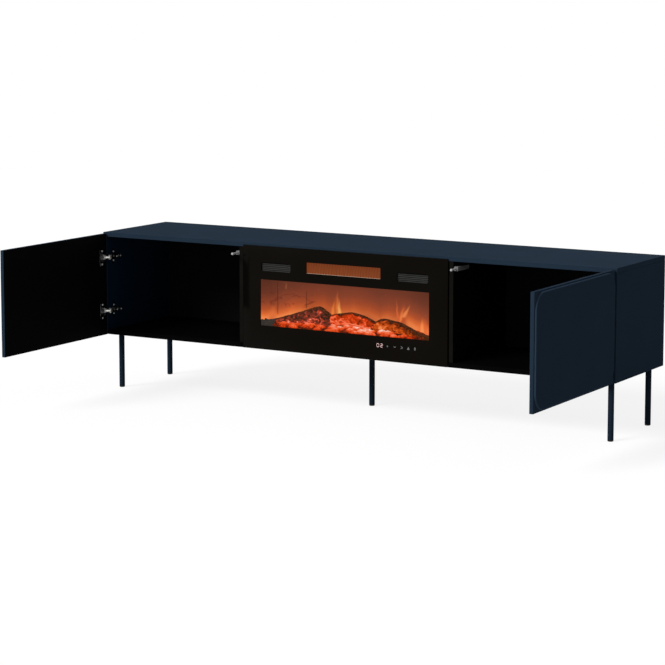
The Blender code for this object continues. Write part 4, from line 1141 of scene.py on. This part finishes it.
def build_logs():
    middle = centre_of(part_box("log_set"))
    for name, stations, seed, hottest, cool_from, surface in (
            ("left_log", left_log, 1.7, 0.57, 0.64, left_log_glow),
            ("middle_log", middle_log, 5.2, 0.64, 0.72, middle_log_glow),
            ("right_log", right_log, 9.4, 0.62, 0.66, right_log_glow)):
        log = make(name, trunk(stations, middle.y, seed, hottest, cool_from), surface, 60)
        own(log, "cabinet", "ember_resin", "log_set")


# Screws and nails

def screw_head(radius):
    """A domed head with a cross recess, standing on the origin and looking along +X."""
    tall = head_height * radius
    profile = [(0, 0)] + [(out * radius, up * tall) for out, up in head_profile] + [(0, tall)]
    head = make("head", turned(profile, small_steps, "x"), nickel)
    for wide, long in (recess_arm, recess_arm[::-1]):
        change(head, box((recess_floor * tall, -wide * radius, -long * radius),
                         (2 * tall, wide * radius, long * radius)))
    mesh = head.data
    bpy.data.objects.remove(head)
    return mesh


def heads(name, mesh, places, body, slot, turn):
    """One piece with a head at each place."""
    shapes = []
    for place in places:
        shape = bmesh.new()
        shape.from_mesh(mesh)
        bmesh.ops.transform(shape, matrix=Matrix.Translation(place) @ turn, verts=shape.verts)
        shapes.append(shape)
    own(joined(name, shapes, zinc, 30), body, slot)


def build_hinge_screws():
    """Screws of the cups' wings, the mounting plates and the arms."""
    wide_head = screw_head(wing_screw_radius)
    small_head = screw_head(arm_screw_radius)
    for side, name in SIDE_NAMES.items():
        inwards = Matrix.Rotation(0 if side == LEFT else math.pi, 4, "Z")
        for hinge in HINGES[side]:
            cup, plate, arm = (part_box(hinge + part)
                               for part in ("_hinge_cup", "_mounting_plate", "_hinge_arm"))
            level = centre_of(cup).z
            face = face_of(cup, -side) + side * cup_rim_step
            along = cup[1].y - cup_radius - cup_rim_past - wing_screw_back
            ends = [(face, along, level + rise * wing_screw_pitch / 2) for rise in (-1, 1)]
            heads(hinge + "_cup_screws", wide_head, ends, name + "_door", "hinge_steel", inwards)
            face = face_of(plate, side) - side * plate_screw_face
            along = centre_of(plate).y
            ends = [(face, along, level + rise * plate_screw_pitch / 2) for rise in (-1, 1)]
            heads(hinge + "_plate_screws", wide_head, ends, "cabinet", "hinge_steel", inwards)
            face = face_of(arm, -side)
            row = [(face, front + distance, level) for distance in arm_screws_behind]
            heads(hinge + "_arm_screws", small_head, row, "cabinet", "hinge_steel", inwards)


def build_nails():
    """Nails round the edges of the thin back panels, nearly flush."""
    backwards = Matrix.Rotation(math.pi / 2, 4, "Z")
    nail = turned([(0, -nail_radius), (nail_radius, -nail_radius), (nail_radius, 0),
                   (nail_flat * nail_radius, nail_dome), (0, nail_dome)], 16, "x")
    mesh = bpy.data.meshes.new("nail")
    nail.to_mesh(mesh)
    nail.free()
    places = []
    for node in ("left_back_panel", "center_back_panel", "right_back_panel"):
        low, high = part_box(node)
        left, right = low.x + nail_inset, high.x - nail_inset
        foot, top = low.z + nail_inset, high.z - nail_inset
        across = max(2, round((right - left) / nail_pitch))
        tall = max(2, round((top - foot) / nail_pitch))
        for i in range(across + 1):
            places += [(left + (right - left) * i / across, high.y, z) for z in (foot, top)]
        for i in range(1, tall):
            places += [(x, high.y, foot + (top - foot) * i / tall) for x in (left, right)]
    heads("back_nails", mesh, places, "cabinet", "back_board", backwards)
    bpy.data.meshes.remove(mesh)


build_glass()
build_heater_ears()
build_display()
build_bed()
build_logs()
build_hinge_screws()
build_nails()


# Stage: floor, room and camera

def grey(value):
    return (value, value, value, 1)


def cleared(owner):
    """The empty node tree of a material or a world."""
    owner.use_nodes = True
    owner.node_tree.nodes.clear()
    return owner.node_tree


def light_or_view(tree, kind, light, view):
    """One shader for rays of light, another for what the camera sees, straight or by way of glass."""
    path = tree.nodes.new("ShaderNodeLightPath").outputs
    seen_ray = path["Is Camera Ray"]
    for more in ("Is Glossy Ray", "Is Transmission Ray"):
        seen_ray = add_node(tree, "Math", 0, {0: seen_ray, 1: path[more]}, operation="MAXIMUM")
    output = tree.nodes.new("ShaderNodeOutput" + kind)
    tree.links.new(add_node(tree, "MixShader", 0, {0: seen_ray, 1: light, 2: view}),
                   output.inputs["Surface"])


def build_floor():
    half = floor_side / 2
    sheet = box((-half, -half, -floor_thickness), (half, half, 0.0))
    floor = make("floor", sheet, bpy.data.materials.new("floor"))
    tree = cleared(floor.data.materials[0])
    light = add_node(tree, "BsdfDiffuse", 0, {"Color": grey(floor_grey)})
    matt = add_node(tree, "BsdfDiffuse", 0, {"Color": grey(floor_seen_grey)})
    glow = add_node(tree, "Emission", 0, {"Strength": floor_seen_glow})
    light_or_view(tree, "Material", light, add_node(tree, "AddShader", 0, {0: matt, 1: glow}))


def build_room():
    world = bpy.data.worlds.new("studio")
    scene.world = world
    tree = cleared(world)
    light, view = (add_node(tree, "Background", 0, {"Color": grey(value)}) for value in (room_light, 1))
    light_or_view(tree, "World", light, view)
    lamp = bpy.data.lights.new("window light", "SUN")
    lamp.energy = sun_strength
    lamp.angle = sun_width
    sun = bpy.data.objects.new("window_light", lamp)
    sun.rotation_euler = Vector(sun_from).to_track_quat("Z", "Y").to_euler()
    scene.collection.objects.link(sun)
    scene.view_settings.view_transform = "Standard"


def build_camera():
    data = bpy.data.cameras.new("camera")
    data.lens = camera_lens
    data.shift_x, data.shift_y = camera_shift
    data.clip_start = 0.1
    data.clip_end = 100
    camera = bpy.data.objects.new("camera", data)
    camera.location = camera_place
    camera.rotation_euler = (math.pi / 2 - camera_dip, 0, camera_turn)
    scene.collection.objects.link(camera)
    scene.camera = camera


build_floor()
build_room()
build_camera()
